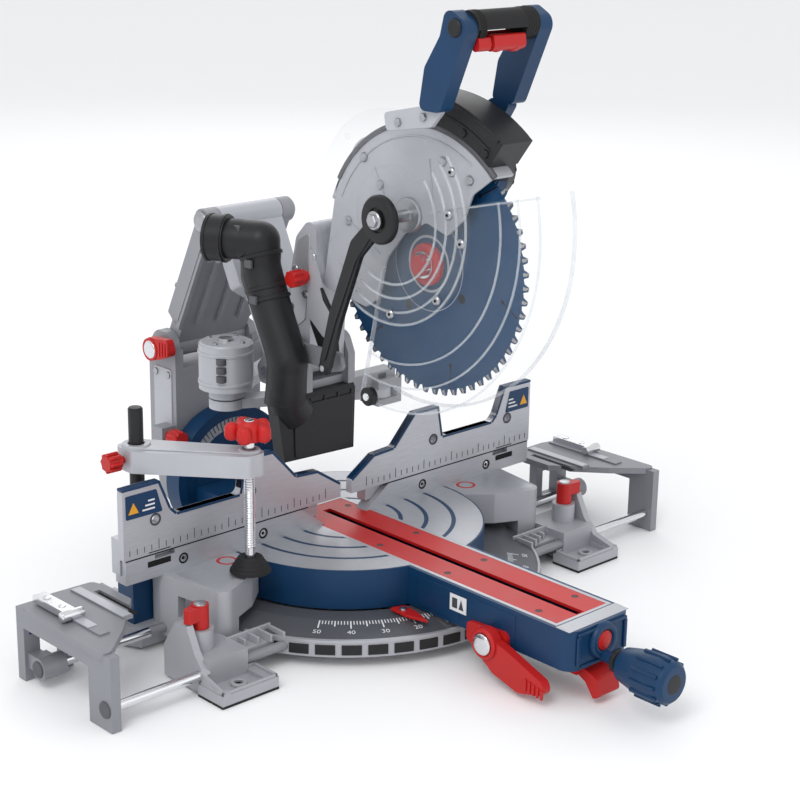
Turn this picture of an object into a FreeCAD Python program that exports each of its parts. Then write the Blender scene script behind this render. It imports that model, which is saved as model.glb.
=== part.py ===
import FreeCAD, Part
import math
import os
import re
from types import SimpleNamespace
from FreeCAD import Placement, Rotation, Vector

# Sliding compound mitre saw: base and turntable, tilting column, folding glide linkage, saw head.
# X is the operator's right, Y runs back from the operator, Z is up. The origin is on the floor
# under the middle of the base's four bolt holes, on the turntable's axis.

doc = FreeCAD.newDocument("mitre_saw")
sheet = doc.addObject("Spreadsheet::Sheet", "sizes")

DRIVING = {
    # table and base
    "table_top": 89.9, "deck_wall": 7.0, "turntable_r": 172.4, "table_gap": 1.6,
    "pan_r": 243.0, "pan_low": 14.0, "pan_top": 32.0, "scale_rise": 9.0,
    "wing_x": 280.0, "wing_front": 93.0, "wing_back": 24.0,
    "bolt_x": 288.0, "bolt_y": 148.0, "bolt_hole_r": 4.5, "foot_x": 39.0, "foot_y": 22.0,
    "foot_pad": 3.0, "foot_thick": 12.0,
    # turntable arm and kerf
    "arm_half": 50.0, "arm_front": 418.0, "arm_low": 43.0, "kerf_half": 6.0, "kerf_back": 60.0,
    "kerf_front": 388.0, "insert_half": 45.0, "insert_thick": 3.5, "knob_r": 30.0, "knob_z": 46.0,
    "knob_back": 446.0, "knob_front": 520.0, "stem_r": 7.0,
    # fences
    "fence_x": 330.0, "fence_in": 62.0, "fence_thick": 20.0, "fence_lip": 29.4, "slider_top": 205.0,
    "slider_thick": 24.0, "slider_in": 9.0,
    # extensions
    "ext_in": 340.0, "ext_out": 447.0, "ext_back": 43.0, "rod_r": 5.5, "rod_z": 24.0,
    "rod_front_y": 126.0, "rod_back_y": 2.0, "rod_in": 150.0, "slide_gap": 0.3,
    # bevel pivot and column
    "trunnion_r": 90.0, "trunnion_front": 225.0, "trunnion_back": 252.0, "pivot_gap": 2.0,
    "column_hub_r": 72.0, "column_half": 70.0, "column_back": 311.0, "top_pivot_y": 282.5, "top_pivot_z": 262.6,
    # glide linkage: four equal links, two on cross axes above and two on upright axes below
    "link_len": 199.6, "fold_angle": 63.8, "pin_r": 8.0, "pin_gap": 0.08,
    "knuckle_r": 20.0, "arm_thick": 22.0, "low_pin_x": 103.0, "low_link": 217.0, "link_step": 14.0,
    "barrel_r": 34.0, "barrel_top": 300.0, "duct_x": -70.0, "duct_y": 78.0, "duct_z": 437.0, "duct_r": 24.0,
    # saw head
    "chop_y": 60.0, "chop_z": 290.0, "blade_y": -139.1, "blade_z": 437.6, "blade_r": 152.5,
    "blade_thick": 2.4, "hub_r": 34.0, "shroud_r": 160.0, "shroud_left": 15.0, "head_in": 15.0,
    "guard_y": -121.0, "guard_z": 493.0, "guard_r": 226.0, "guard_left": 42.0, "guard_wall": 3.5,
    "ring_r": 122.0, "lock_pin_y": 36.0, "lock_pin_z": 396.0, "motor_y": -62.0, "motor_z": 520.0, "motor_r": 46.0, "motor_end": 182.0,
    # handle
    "grip_y": -236.0, "grip_z": 712.0, "grip_r": 17.0,
    # clamp
    "post_x": 284.0, "post_y": 39.0, "post_r": 8.5, "post_top": 281.0, "clamp_x": 200.0,
    "clamp_y": 60.0, "clamp_low": 211.0, "clamp_high": 237.0, "spindle_r": 6.5,
    "clamp_knob_low": 250.0, "clamp_knob_high": 275.0, "clamp_lock_z": 224.0,
}
for row, (alias, value) in enumerate(DRIVING.items(), 1):
    sheet.set(f"A{row}", alias)
    sheet.set(f"B{row}", str(value))
    sheet.setAlias(f"B{row}", alias)
doc.recompute()
S = SimpleNamespace(**{alias: float(getattr(sheet, alias)) for alias in DRIVING})

nodes = []


def ref(term):
    """A number or an expression in sheet aliases, as FreeCAD reads it."""
    return re.sub(r"[a-z][a-z_0-9]*", lambda m: "sizes." + m.group() if m.group() in DRIVING else m.group(),
                  str(term))


def box(name, x, y, z):
    """A block between pairs of bounds."""
    block = doc.addObject("Part::Box", name)
    for prop, (low, high), axis in zip(("Length", "Width", "Height"), (x, y, z), "xyz"):
        block.setExpression(prop, f"({ref(high)}) - ({ref(low)})")
        block.setExpression(f"Placement.Base.{axis}", ref(low))
    return block


TURN = {"x": Rotation(Vector(0, 1, 0), 90), "y": Rotation(Vector(1, 0, 0), -90), "z": Rotation()}


def rod(name, axis, centre, span, radius, end_radius=None):
    """A cylinder along an axis, or a cone where it has a second radius."""
    kind = "Part::Cylinder" if end_radius is None else "Part::Cone"
    solid = doc.addObject(kind, name)
    if end_radius is None:
        solid.setExpression("Radius", ref(radius))
    else:
        solid.setExpression("Radius1", ref(radius))
        solid.setExpression("Radius2", ref(end_radius))
    solid.setExpression("Height", f"({ref(span[1])}) - ({ref(span[0])})")
    solid.Placement = Placement(Vector(), TURN[axis])
    across = [letter for letter in "xyz" if letter != axis]
    for letter, place in zip(across, centre):
        solid.setExpression(f"Placement.Base.{letter}", ref(place))
    solid.setExpression(f"Placement.Base.{axis}", ref(span[0]))
    return solid


def rounded(points):
    """Lines and corner arcs through (u, v) or (u, v, radius) points."""
    corners = []
    count = len(points)
    for i, point in enumerate(points):
        here = Vector(point[0], point[1], 0)
        before = Vector(points[i - 1][0], points[i - 1][1], 0)
        after = Vector(points[(i + 1) % count][0], points[(i + 1) % count][1], 0)
        radius = point[2] if len(point) > 2 else 0
        back = (before - here).normalize()
        ahead = (after - here).normalize()
        if not radius or (back + ahead).Length < 1e-6:
            corners.append((here, None, here))
            continue
        half = back.getAngle(ahead) / 2
        reach = radius / math.tan(half)
        middle = (back + ahead).normalize()
        top = here + middle * (radius / math.sin(half) - radius)
        corners.append((here + back * reach, top, here + ahead * reach))
    edges = []
    for i, (start, top, end) in enumerate(corners):
        if top is not None:
            edges.append(Part.Arc(start, top, end))
        edges.append(Part.LineSegment(end, corners[(i + 1) % count][0]))
    return edges


def plate(name, plane, points, span, holes=()):
    """A padded outline. Plane xy rises in Z, yz runs in X and xz runs in Y, between the two bounds."""
    body = doc.addObject("PartDesign::Body", name)
    sketch = body.newObject("Sketcher::SketchObject", name + "_outline")
    role = {"xy": "XY_Plane", "xz": "XZ_Plane", "yz": "YZ_Plane"}[plane]
    origin_plane = [f for f in body.Origin.OriginFeatures if f.Role == role][0]
    sketch.AttachmentSupport = [(origin_plane, "")]
    sketch.MapMode = "FlatFace"
    offset = f"-({ref(span[1])})" if plane == "xz" else ref(span[0])
    sketch.setExpression("AttachmentOffset.Base.z", offset)
    for edge in rounded(points):
        sketch.addGeometry(edge, False)
    for u, v, r in holes:
        sketch.addGeometry(Part.Circle(Vector(u, v, 0), Vector(0, 0, 1), r), False)
    pad = body.newObject("PartDesign::Pad", name + "_pad")
    pad.Profile = sketch
    pad.setExpression("Length", f"({ref(span[1])}) - ({ref(span[0])})")
    return body


def fuse(name, *pieces):
    joined = doc.addObject("Part::MultiFuse", name)
    joined.Shapes = list(pieces)
    joined.Refine = True
    return joined


def cut(name, base, *tools):
    result = doc.addObject("Part::Cut", name)
    result.Base = base
    result.Tool = tools[0] if len(tools) == 1 else fuse(name + "_tools", *tools)
    result.Refine = True
    return result


def common(name, first, second):
    result = doc.addObject("Part::Common", name)
    result.Base = first
    result.Tool = second
    return result


def group(name, *pieces):
    """Separate solids kept as one node."""
    made = doc.addObject("Part::Compound", name)
    made.Links = list(pieces)
    return made


def mirror(name, source):
    """The piece's twin on the other side of the X = 0 plane."""
    twin = doc.addObject("Part::Mirroring", name)
    twin.Source = source
    twin.Normal = Vector(1, 0, 0)
    return twin


def node(label, piece):
    piece.Label = label
    nodes.append(piece)
    return piece


def stand(piece, y, z, angle):
    """Stands a link drawn along +Y from its pivot at that pivot, turned about X."""
    piece.Placement = Placement(Vector(0, y, z), Rotation(Vector(1, 0, 0), angle))
    return piece


# ---- base -------------------------------------------------------------------------------------

def wing(tag):
    """Right table wing: a deck with a skirt, open below, ending in the two feet on its side."""
    x = S.wing_x
    deck = plate(f"{tag}_deck", "xy",
                 [(150, -20), (201, -64), (x - 16, -S.wing_front, 16), (x, 6, 8), (x, S.wing_back, 6),
                  (120, S.wing_back)], ("pan_low", "table_top"))
    hollow = box(f"{tag}_hollow", ("turntable_r + table_gap + 34", "wing_x - 8 - deck_wall"), (-52, 12),
                 ("pan_low - 1", "table_top - deck_wall"))
    grip = box(f"{tag}_handhold", ("turntable_r + 56", "wing_x + 5"), (-60, -22), (44, 70))
    shell = cut(f"{tag}_shell", deck, hollow, grip)
    legs = []
    for place, low, high in (("front", "-(bolt_y + foot_y)", "-(bolt_y - foot_y)"),
                             ("rear", "bolt_y - foot_y", "bolt_y + foot_y")):
        foot = box(f"{tag}_{place}_foot", ("bolt_x - foot_x", "bolt_x + foot_x"), (low, high),
                   ("foot_pad", "foot_pad + foot_thick"))
        legs.append(foot)
    x_out = S.bolt_x + S.foot_x
    rear_rail = plate(f"{tag}_rear_rail", "xy",
                      [(258, 10), (x_out - 22, 10), (x_out, 60, 20), (x_out, 130), (258, 130)],
                      ("foot_pad", "foot_pad + 24"))
    lock_boss = rod(f"{tag}_lock_boss", "z", (300, -96), ("foot_pad", 64), 15)
    block = box(f"{tag}_leg", (262, "bolt_x + foot_x - 9"), (-132, -62), ("foot_pad", 40))
    rib = plate(f"{tag}_rib", "yz",
                [(-S.bolt_y - S.foot_y, S.foot_pad), (-S.bolt_y - S.foot_y, 17), (-136, 26), (-118, 46, 26),
                 (-104, 74), (-84, 74, 8), (-62, 40), (-62, S.foot_pad)],
                ("bolt_x + foot_x - 11", "bolt_x + foot_x - 2"))
    return fuse(f"{tag}_wing", shell, rear_rail, lock_boss, block, rib, *legs)


right_wing = wing("right")
left_wing = mirror("left_wing", wing("left_source"))
pan = rod("pan_disc", "z", (0, 0), ("pan_low", "pan_top"), "pan_r")
spigot = rod("pivot_spigot", "z", (0, 0), ("pan_low", "pan_top + 18"), 30)
rear_bridge = box("rear_bridge", (-262, 262), (12, 64), ("foot_pad + 1", "pan_top - 4"))
front_bar = box("front_bar", (-270, 270), (-118, -62), ("pan_low", "pan_top - 2"))
turn_room = rod("turntable_room", "z", (0, 0), ("pan_top", "table_top + 1"), "turntable_r + table_gap")
scale_room = rod("scale_room", "z", (0, 0), ("pan_top", 50), "pan_r + table_gap")
base_tools = [turn_room, scale_room]
for side in (-1, 1):
    for end in (-1, 1):
        base_tools.append(rod(f"bolt_hole_{side + 1}_{end + 1}", "z", (f"{side} * bolt_x", f"{end} * bolt_y"),
                              (-1, "foot_pad + foot_thick + 20"), "bolt_hole_r"))
        base_tools.append(box(f"foot_tray_{side + 1}_{end + 1}",
                              (f"{side} * bolt_x - foot_x + 6", f"{side} * bolt_x + foot_x - 14"),
                              (f"{end} * bolt_y - foot_y + 6", f"{end} * bolt_y + foot_y - 6"),
                              ("foot_pad + foot_thick - 5", "foot_pad + foot_thick + 12")))
    for tag, y in (("front", "-rod_front_y"), ("back", "rod_back_y")):
        base_tools.append(rod(f"rod_bore_{tag}_{side + 1}", "x", (y, "rod_z"),
                              ("rod_in - 12" if side > 0 else "-ext_in", "ext_in" if side > 0 else "-rod_in + 12"),
                              "rod_r + slide_gap"))
    base_tools.append(rod(f"lever_seat_{side + 1}", "z", (f"{side} * 300", -96), (40, 80), "7 + slide_gap"))
front_half = fuse("base_blank", pan, spigot, rear_bridge, front_bar, right_wing, left_wing)
node("base_casting", cut("base_cut", front_half, *base_tools))

feet = []
for side in (-1, 1):
    for end in (-1, 1):
        pad = box(f"pad_{side + 1}_{end + 1}", (f"{side} * bolt_x - foot_x", f"{side} * bolt_x + foot_x"),
                  (f"{end} * bolt_y - foot_y", f"{end} * bolt_y + foot_y"), (0, "foot_pad"))
        hole = rod(f"pad_hole_{side + 1}_{end + 1}", "z", (f"{side} * bolt_x", f"{end} * bolt_y"),
                   (-1, "foot_pad + 1"), "bolt_hole_r")
        feet.append(cut(f"foot_{side + 1}_{end + 1}", pad, hole))
node("rubber_feet", group("feet", *feet))

# mitre scale: a dished silver ring sector lying on the pan in front of the wings
scale_cone = rod("scale_cone", "z", (0, 0), ("pan_top + 1.8", "pan_top + scale_rise"), "pan_r", "turntable_r + 28")
scale_rim = rod("scale_rim", "z", (0, 0), ("pan_top", "pan_top + 1.8"), "pan_r")
scale_bore = rod("scale_bore", "z", (0, 0), ("pan_top - 1", "pan_top + 12"), "turntable_r + 3")
scale_behind = box("scale_behind", (-260, 260), (-18, 260), ("pan_top - 1", "pan_top + 12"))
node("mitre_scale", cut("scale_cut", fuse("scale_blank", scale_cone, scale_rim), scale_bore, scale_behind))

# ---- turntable --------------------------------------------------------------------------------

disc = rod("table_disc", "z", (0, 0), ("pan_top + scale_rise + 1", "table_top"), "turntable_r")
arm = plate("arm_block", "xy",
            [(-S.arm_half, -100), (-S.arm_half, -S.arm_front, 16), (S.arm_half, -S.arm_front, 16),
             (S.arm_half, -100)], ("arm_low", "table_top"))
neck = box("trunnion_neck", (-60, 60), (140, "trunnion_front + 4"), ("pan_top + scale_rise + 1", 82))
arm_hollow = box("arm_hollow", ("-arm_half + 6", "arm_half - 6"), ("-arm_front + 22", -185),
                 ("arm_low - 1", "table_top - 14"))
insert_seat = box("insert_seat", ("-insert_half", "insert_half"), ("-kerf_front - 4", "kerf_back"),
                  ("table_top - insert_thick", "table_top + 1"))
blade_room = box("blade_room", (-19, 19), ("-kerf_front", "kerf_back - 8"), (54, "table_top"))
spigot_room = rod("spigot_room", "z", (0, 0), ("pan_top", "pan_top + 19"), "30 + slide_gap")
button_room = rod("button_room", "y", (0, 70), ("-arm_front - 1", "-arm_front + 26"), "11 + slide_gap")
stem_room = rod("stem_room", "y", (0, "knob_z + 6"), ("-arm_front - 1", "-arm_front + 26"), "stem_r + slide_gap")
node("turntable", cut("turntable_cut", fuse("turntable_blank", disc, arm, neck), arm_hollow, insert_seat,
                      blade_room, spigot_room, button_room, stem_room))

insert = box("insert_blank", ("-insert_half + 0.2", "insert_half - 0.2"), ("-kerf_front - 3.6", "kerf_back - 0.4"),
             ("table_top - insert_thick", "table_top"))
slot = box("insert_slot", ("-kerf_half", "kerf_half"), ("-kerf_front + 2", 37), ("table_top - 6", "table_top + 1"))
screw_spots = [(x, y) for y in (30, -95, -210, -352) for x in (-30, 30)]
recesses = [rod(f"insert_hole_{i}", "z", spot, ("table_top - 2", "table_top + 1"), 4.2)
            for i, spot in enumerate(screw_spots)]
node("kerf_insert", cut("insert_cut", insert, slot, *recesses))
node("insert_screws", group("screws", *[rod(f"insert_screw_{i}", "z", spot, ("table_top - 2", "table_top - 0.4"), 4)
                                        for i, spot in enumerate(screw_spots)]))

# fixed half of the bevel joint, with its silver graduated band let into the back
trunnion = rod("trunnion_disc", "y", (0, "table_top"), ("trunnion_front", "trunnion_back"), "trunnion_r")
below_neck = box("trunnion_flat", (-100, 100), ("trunnion_front - 1", "trunnion_back + 1"), (-20, 41))
neck_room = box("trunnion_seat", (-60.1, 60.1), ("trunnion_front - 1", "trunnion_front + 4.1"), (30, 82.1))
band_seat = cut("band_seat", rod("band_outer", "y", (0, "table_top"), ("trunnion_front - 1", "trunnion_front + 2"), 76),
                rod("band_inner", "y", (0, "table_top"), ("trunnion_front - 2", "trunnion_front + 3"), 60))
bevel_shaft = rod("bevel_shaft", "y", (0, "table_top"), ("trunnion_back - 1", "trunnion_back + 8"), 14)
node("bevel_trunnion", fuse("trunnion_set", cut("trunnion_cut", trunnion, below_neck, neck_room, band_seat),
                            bevel_shaft))

pointer = plate("pointer_blank", "xy", [(-58, -168), (-58, -226, 6), (-82, -226, 6), (-82, -158)], (43, 48))
node("mitre_pointer", cut("pointer_cut", pointer, rod("pointer_room", "z", (0, 0), (40, 50), "turntable_r + 0.2")))

# front of the arm: screw knob, detent button, detent trigger and the big lock lever
knob = fuse("knob_blank", rod("knob_body", "y", (0, "knob_z + 6"), ("-knob_front", "-knob_back"), 26, "knob_r"),
            rod("knob_stem", "y", (0, "knob_z + 6"), ("-knob_back", "-arm_front + 20"), "stem_r"))
flutes = [rod(f"flute_{i}", "y", (33.5 * math.cos(math.radians(60 * i)),
                                 f"knob_z + 6 + {33.5 * math.sin(math.radians(60 * i))}"),
              ("-knob_front - 1", "-knob_back - 14"), 8) for i in range(6)]
node("mitre_knob", cut("knob_cut", knob, *flutes))
node("detent_button", rod("button_pin", "y", (0, 70), ("-arm_front - 5", "-arm_front + 18"), 11))
trigger_pin = rod("finger_pin", "x", (-398, 36), (-25, 25), 4)
finger = plate("finger_blade", "yz", [(-404, 39), (-428, 30, 5), (-434, 10, 6), (-424, 6), (-412, 22, 5),
                                      (-392, 32)], (-17, 17))
node("detent_trigger", fuse("finger", trigger_pin, finger))
ears = [box(f"finger_ear_{i}", (low, low + 5), (-406, -390), (30, "arm_low")) for i, low in enumerate((-25, 20))]
ear_bores = [rod(f"ear_bore_{i}", "x", (-398, 36), (low - 1, low + 6), "4 + slide_gap")
             for i, low in enumerate((-25, 20))]
bracket = plate("bracket_plate", "yz", [(-268, 58, 6), (-268, 34, 6), (-330, 30, 8), (-330, 62, 8)],
                ("-arm_half - 6", "-arm_half"))
lever = fuse("lever_blank",
             rod("lever_boss", "x", (-308, 47), ("-arm_half - 21", "-arm_half - 7"), 17),
             plate("lever_blade", "yz", [(-300, 60), (-340, 50, 20), (-396, 30, 10), (-400, 16, 8),
                                         (-360, 6, 12), (-322, 16, 18), (-296, 34)],
                   ("-arm_half - 19", "-arm_half - 8")))
node("mitre_lock_lever", lever)
node("arm_brackets", group("brackets", bracket, *[cut(f"hanger_{i}", ear, bore)
                                                  for i, (ear, bore) in enumerate(zip(ears, ear_bores))]))

# ---- fences -----------------------------------------------------------------------------------

def fixed_fence(tag):
    low, high = S.table_top, S.table_top + S.fence_lip
    x0, x1 = S.fence_in, S.fence_x
    face = plate(f"{tag}_fence_face", "xz",
                 [(x0 - 28, low), (x0 + 12, high), (x1, high), (x1, low)], (0, "fence_thick"))
    relief = box(f"{tag}_fence_relief", ("fence_in - 30", "fence_x + 1"), (8, "fence_thick + 1"),
                 ("table_top + 10", "table_top + fence_lip + 1"))
    holes = [rod(f"{tag}_fence_hole_{x}", "y", (x, "table_top + 13"), (-1, 6), 4.6) for x in (132, 250)]
    notch = box(f"{tag}_fence_notch", (262, 290), (-1, 9), ("table_top + fence_lip - 7", "table_top + fence_lip + 1"))
    return cut(f"{tag}_fence_cut", face, relief, notch, *holes)


def sliding_fence(tag):
    """Tall fence half: a silver face plate standing on a back rail that runs behind the fixed fence."""
    low = S.table_top + S.fence_lip
    face_points = [(S.slider_in, low + 0.3), (S.slider_in, low + 19, 4), (46, low + 43), (80, low + 45, 6),
                   (116, S.slider_top - 2, 9), (159, S.slider_top - 2, 9), (167, low + 42, 8), (258, low + 42, 10),
                   (266, low + 50, 8), (281, S.slider_top, 12), (S.fence_x + 2, S.slider_top, 8),
                   (S.fence_x + 2, low + 0.3)]
    face = plate(f"{tag}_slider_face", "xz", face_points, (0, "slider_thick - 14"))
    rail = box(f"{tag}_slider_rail", (40, "fence_x + 2"), (8.5, "slider_thick"),
               ("table_top + 10.5", "table_top + fence_lip + 24"))
    j_holes = [rod(f"{tag}_slider_hole_{x}", "y", (x, 160), (-1, "slider_thick + 1"), 5) for x in (150, 288)]
    return cut(f"{tag}_slider_cut", fuse(f"{tag}_slider_blank", face, rail), *j_holes)


node("fixed_fence", group("fence_pair", fixed_fence("right"), mirror("left_fence", fixed_fence("left"))))
node("sliding_fence_right", sliding_fence("right"))
node("sliding_fence_left", mirror("left_slider", sliding_fence("left")))
node("fence_bolts", group("bolts", *[rod(f"fence_bolt_{side + 1}_{x}", "y", (f"{side} * {x}", "table_top + 13"),
                                         (0.8, 6), 4.4) for side in (-1, 1) for x in (132, 250)]))


def fence_block(tag):
    """Carrier block on the base behind each end of the fence; the left one also holds the clamp post."""
    block = box(f"{tag}_block_solid", ("post_x - 20", "post_x + 20"), ("slider_thick + 1", "post_y + 16"),
                ("foot_pad + 24", "table_top + 28"))
    return cut(f"{tag}_block_cut", block, rod(f"{tag}_post_bore", "z", ("post_x", "post_y"),
                                              (44, "table_top + 30"), "post_r + slide_gap"))


node("fence_blocks", group("block_pair", fence_block("right"), mirror("left_block", fence_block("left"))))

# ---- extension tables ---------------------------------------------------------------------------

def extension(tag):
    """Right extension: a bridge plate on two legs, ribbed on top, on two chromed rods."""
    top = plate(f"{tag}_ext_top", "xy",
                [(S.ext_in + 3, -28), (S.ext_in + 58, -90), (S.ext_out + 3, -137, 8), (S.ext_out, S.ext_back - 10, 16),
                 (S.ext_out - 40, S.ext_back, 14), (S.ext_in + 8, S.ext_back - 2, 8), (S.ext_in + 3, 20)],
                ("table_top - 10", "table_top - 2"))
    ribs = [box(f"{tag}_ext_rib_{i}", (x, x + 13), (-88 + 20 * i, 34), ("table_top - 4", "table_top"))
            for i, x in enumerate((S.ext_out - 34, S.ext_out - 78))]
    rear = box(f"{tag}_ext_rear", ("ext_out - 62", "ext_out"), ("ext_back - 14", "ext_back"), (0, "table_top - 4"))
    rear_web = box(f"{tag}_ext_side", ("ext_out - 8", "ext_out"), (-120, "ext_back - 4"),
                   ("table_top - 26", "table_top - 4"))
    front = box(f"{tag}_ext_front", ("ext_out - 12", "ext_out"), (-137, -96), (0, "table_top - 4"))
    rear_boss = rod(f"{tag}_ext_boss", "x", ("rod_back_y", "rod_z"), ("ext_out - 30", "ext_out"), 13)
    boss_arm = box(f"{tag}_ext_boss_arm", ("ext_out - 24", "ext_out - 4"), ("rod_back_y", "ext_back - 8"),
                   ("rod_z - 9", "rod_z + 9"))
    bores = [rod(f"{tag}_ext_bore_{i}", "x", (y, "rod_z"), ("ext_out - 40", "ext_out + 1"), "rod_r")
             for i, y in enumerate(("-rod_front_y", "rod_back_y"))]
    window = box(f"{tag}_ext_window", ("ext_out - 50", "ext_out - 20"), ("ext_back - 20", "ext_back + 1"), (14, 52))
    slot = box(f"{tag}_ext_slot", ("ext_out - 92", "ext_out - 84"), (-60, 16), ("table_top - 12", "table_top"))
    solid = fuse(f"{tag}_ext_blank", top, rear, rear_web, front, rear_boss, boss_arm, *ribs)
    return cut(f"{tag}_ext_cut", solid, window, slot, *bores)


def extension_set(tag):
    """The bridge and the two rods pressed into it."""
    rods = [rod(f"{tag}_rod_{i}", "x", (y, "rod_z"), ("rod_in", "ext_out"), "rod_r")
            for i, y in enumerate(("-rod_front_y", "rod_back_y"))]
    return group(f"{tag}_set", extension(tag), *rods)


def length_stop(tag):
    """Flip-up stop bar hinged on the extension's outer rib."""
    pin = rod(f"{tag}_stop_pin", "x", (-34, "table_top + 5"), ("ext_out - 34", "ext_out - 10"), 4)
    bar = box(f"{tag}_stop_bar", ("ext_out - 30", "ext_out - 14"), (-34, 30), ("table_top + 1", "table_top + 9"))
    return fuse(f"{tag}_stop", pin, bar)


def lock_lever(tag):
    """Red cam lever on top of the base's lock boss."""
    stem = rod(f"{tag}_cam_stem", "z", (300, -96), (44, 66), 7)
    hub = rod(f"{tag}_cam_hub", "z", (300, -96), (64.4, 92), 10)
    blade = plate(f"{tag}_cam_blade", "xy", [(296, -87), (324, -96, 4), (322, -106, 4), (300, -104)], (75.5, 91))
    return fuse(f"{tag}_cam", stem, hub, blade)


for maker, label in ((extension_set, "extension_table"), (length_stop, "length_stop"),
                     (lock_lever, "extension_lock")):
    node(f"{label}_right", maker(f"right_{label}"))
    node(f"{label}_left", mirror(f"left_{label}_twin", maker(f"left_{label}")))

# ---- work clamp on the left ---------------------------------------------------------------------

node("clamp_post", rod("post", "z", ("-post_x", "post_y"), ("table_top - 30", "post_top"), "post_r"))
clamp_line = [(-S.post_x - 18, S.post_y - 14, 8), (-S.post_x - 18, S.post_y + 18, 10),
              (-S.post_x + 16, S.post_y + 18, 10), (-S.clamp_x + 16, -S.clamp_y + 10, 8),
              (-S.clamp_x + 12, -S.clamp_y - 16, 10), (-S.clamp_x - 14, -S.clamp_y - 16, 10)]
clamp_bar = plate("clamp_bar", "xy", clamp_line, ("clamp_low", "clamp_high"))
node("clamp_arm", cut("clamp_arm_cut", clamp_bar,
                      rod("clamp_post_bore", "z", ("-post_x", "post_y"), (200, 300), "post_r + slide_gap"),
                      rod("clamp_screw_bore", "z", ("-clamp_x", "-clamp_y"), (200, 300), "spindle_r + pin_gap"),
                      rod("clamp_knob_bore", "x", ("post_y", "clamp_lock_z"), ("-post_x - 30", "-post_x - 8"), 4.3)))
spindle = rod("spindle", "z", ("-clamp_x", "-clamp_y"), (104, "clamp_knob_low"), "spindle_r")
lobes = [rod(f"lobe_{i}", "z", (-S.clamp_x + 18 * math.cos(math.radians(72 * i)),
                                -S.clamp_y + 18 * math.sin(math.radians(72 * i))), ("clamp_knob_low", "clamp_knob_high - 1"), 11) for i in range(5)]
node("clamp_screw", group("clamp_screw_set", spindle,
                          fuse("clamp_knob", rod("knob_hub", "z", ("-clamp_x", "-clamp_y"), ("clamp_knob_low", "clamp_knob_high"), 18), *lobes)))
node("clamp_foot", cut("clamp_foot_cut", rod("foot_cup", "z", ("-clamp_x", "-clamp_y"), (93, 110), 24, 14),
                       rod("foot_socket", "z", ("-clamp_x", "-clamp_y"), (104, 112), "spindle_r")))
node("clamp_lock_knob", fuse("clamp_lock", rod("lock_stem", "x", ("post_y", "clamp_lock_z"), ("-post_x - 26", "-post_x - 10"), 4),
                             rod("lock_grip", "x", ("post_y", "clamp_lock_z"), ("-post_x - 42", "-post_x - 24"), 9)))

# ---- tilting column -----------------------------------------------------------------------------

fold = math.radians(S.fold_angle)
reach, rise = S.link_len * math.cos(fold), S.link_len * math.sin(fold)
knee_y, knee_z = S.top_pivot_y - reach, S.top_pivot_z + rise
carriage_y = S.top_pivot_y - 2 * reach
elbow_x = S.low_pin_x - rise
low_col_y = 228.0
low_car_y = low_col_y - 2 * reach
elbow_y = low_col_y - reach

hub = rod("column_hub", "y", (0, "table_top"), ("trunnion_back + pivot_gap", 294), "column_hub_r")
tower = plate("column_tower", "xz", [(-S.column_half, 104), (-S.column_half, 286, 16), (S.column_half, 286, 16),
                                     (S.column_half, 104, 12), (40, 60, 20), (-40, 60, 20)],
              ("trunnion_back + pivot_gap", "column_back"))
left_cheek = plate("column_cheek", "yz", [(256, 96), (256, 250), (262, 284, 14), (302, 284, 14),
                                          (S.column_back, 250), (S.column_back, 96)], ("-column_half", "-column_half + 12"))
top_room = box("arm_room", (-57, 57), (245, 320), (238, 300))
inner_room = box("column_inside", (-58, 58), (262, "column_back - 8"), (110, 236))
top_trim = cut("top_trim", box("top_trim_block", (-80, 80), (250, 320), (262.6, 300)),
               rod("top_trim_round", "x", ("top_pivot_y", "top_pivot_z"), (-81, 81), 23))
low_lugs = fuse("low_lugs", box("low_lug_back", (50, 121), (244, 262), (S.low_link + 4, S.low_link + 38)),
                box("low_lug_top", (84, 121), (214, 250), (S.low_link + 2 * S.link_step - 1, S.low_link + 38)),
                box("low_lug_under", (84, 121), (214, 250), (S.low_link + 4, S.low_link + S.link_step - 1)))
stop_boss = box("stop_boss", (-92, "-column_half + 1"), (256, 276), (138, 162))
column = cut("column_cut", fuse("column_blank", hub, tower, left_cheek, low_lugs, stop_boss), top_room, inner_room,
             top_trim,
             rod("top_pin_bore", "x", ("top_pivot_y", "top_pivot_z"), (-90, 90), "pin_r"),
             rod("low_pin_bore", "z", ("low_pin_x", low_col_y), (S.low_link, S.low_link + 50), "pin_r"),
             rod("lock_shaft_bore", "y", (0, "table_top"), (270, 320), "9 + slide_gap"),
             rod("bevel_bore", "y", (0, "table_top"), (250, "trunnion_back + 9"), "14 + pin_gap"),
             rod("stop_pin_bore", "y", (-81, 150), (250, 280), "6 + slide_gap"))
node("tilt_column", column)
node("bevel_lock_lever", fuse("bevel_lever", rod("lock_shaft", "y", (0, "table_top"), (282, 332), 9),
                              plate("lock_handle", "xz", [(-14, 78, 8), (14, 78, 8), (70, 160, 12), (52, 172, 10),
                                                          (-14, 104, 8)], (318, 332))))
node("bevel_stop_pin", fuse("stop_pin", rod("stop_pin_rod", "y", (-81, 150), (240, 284), 6),
                            rod("stop_pin_grip", "y", (-81, 150), (228, 250), 10)))
node("glide_lock_lever", fuse("glide_lever", rod("glide_lever_hub", "x", ("top_pivot_y", "top_pivot_z"), (-90, -76), 15),
                              plate("glide_lever_blade", "yz", [(270, 250, 6), (240, 262, 8), (246, 282, 8),
                                                                (286, 278)], (-89, -78))))

# ---- glide linkage ------------------------------------------------------------------------------

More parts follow.
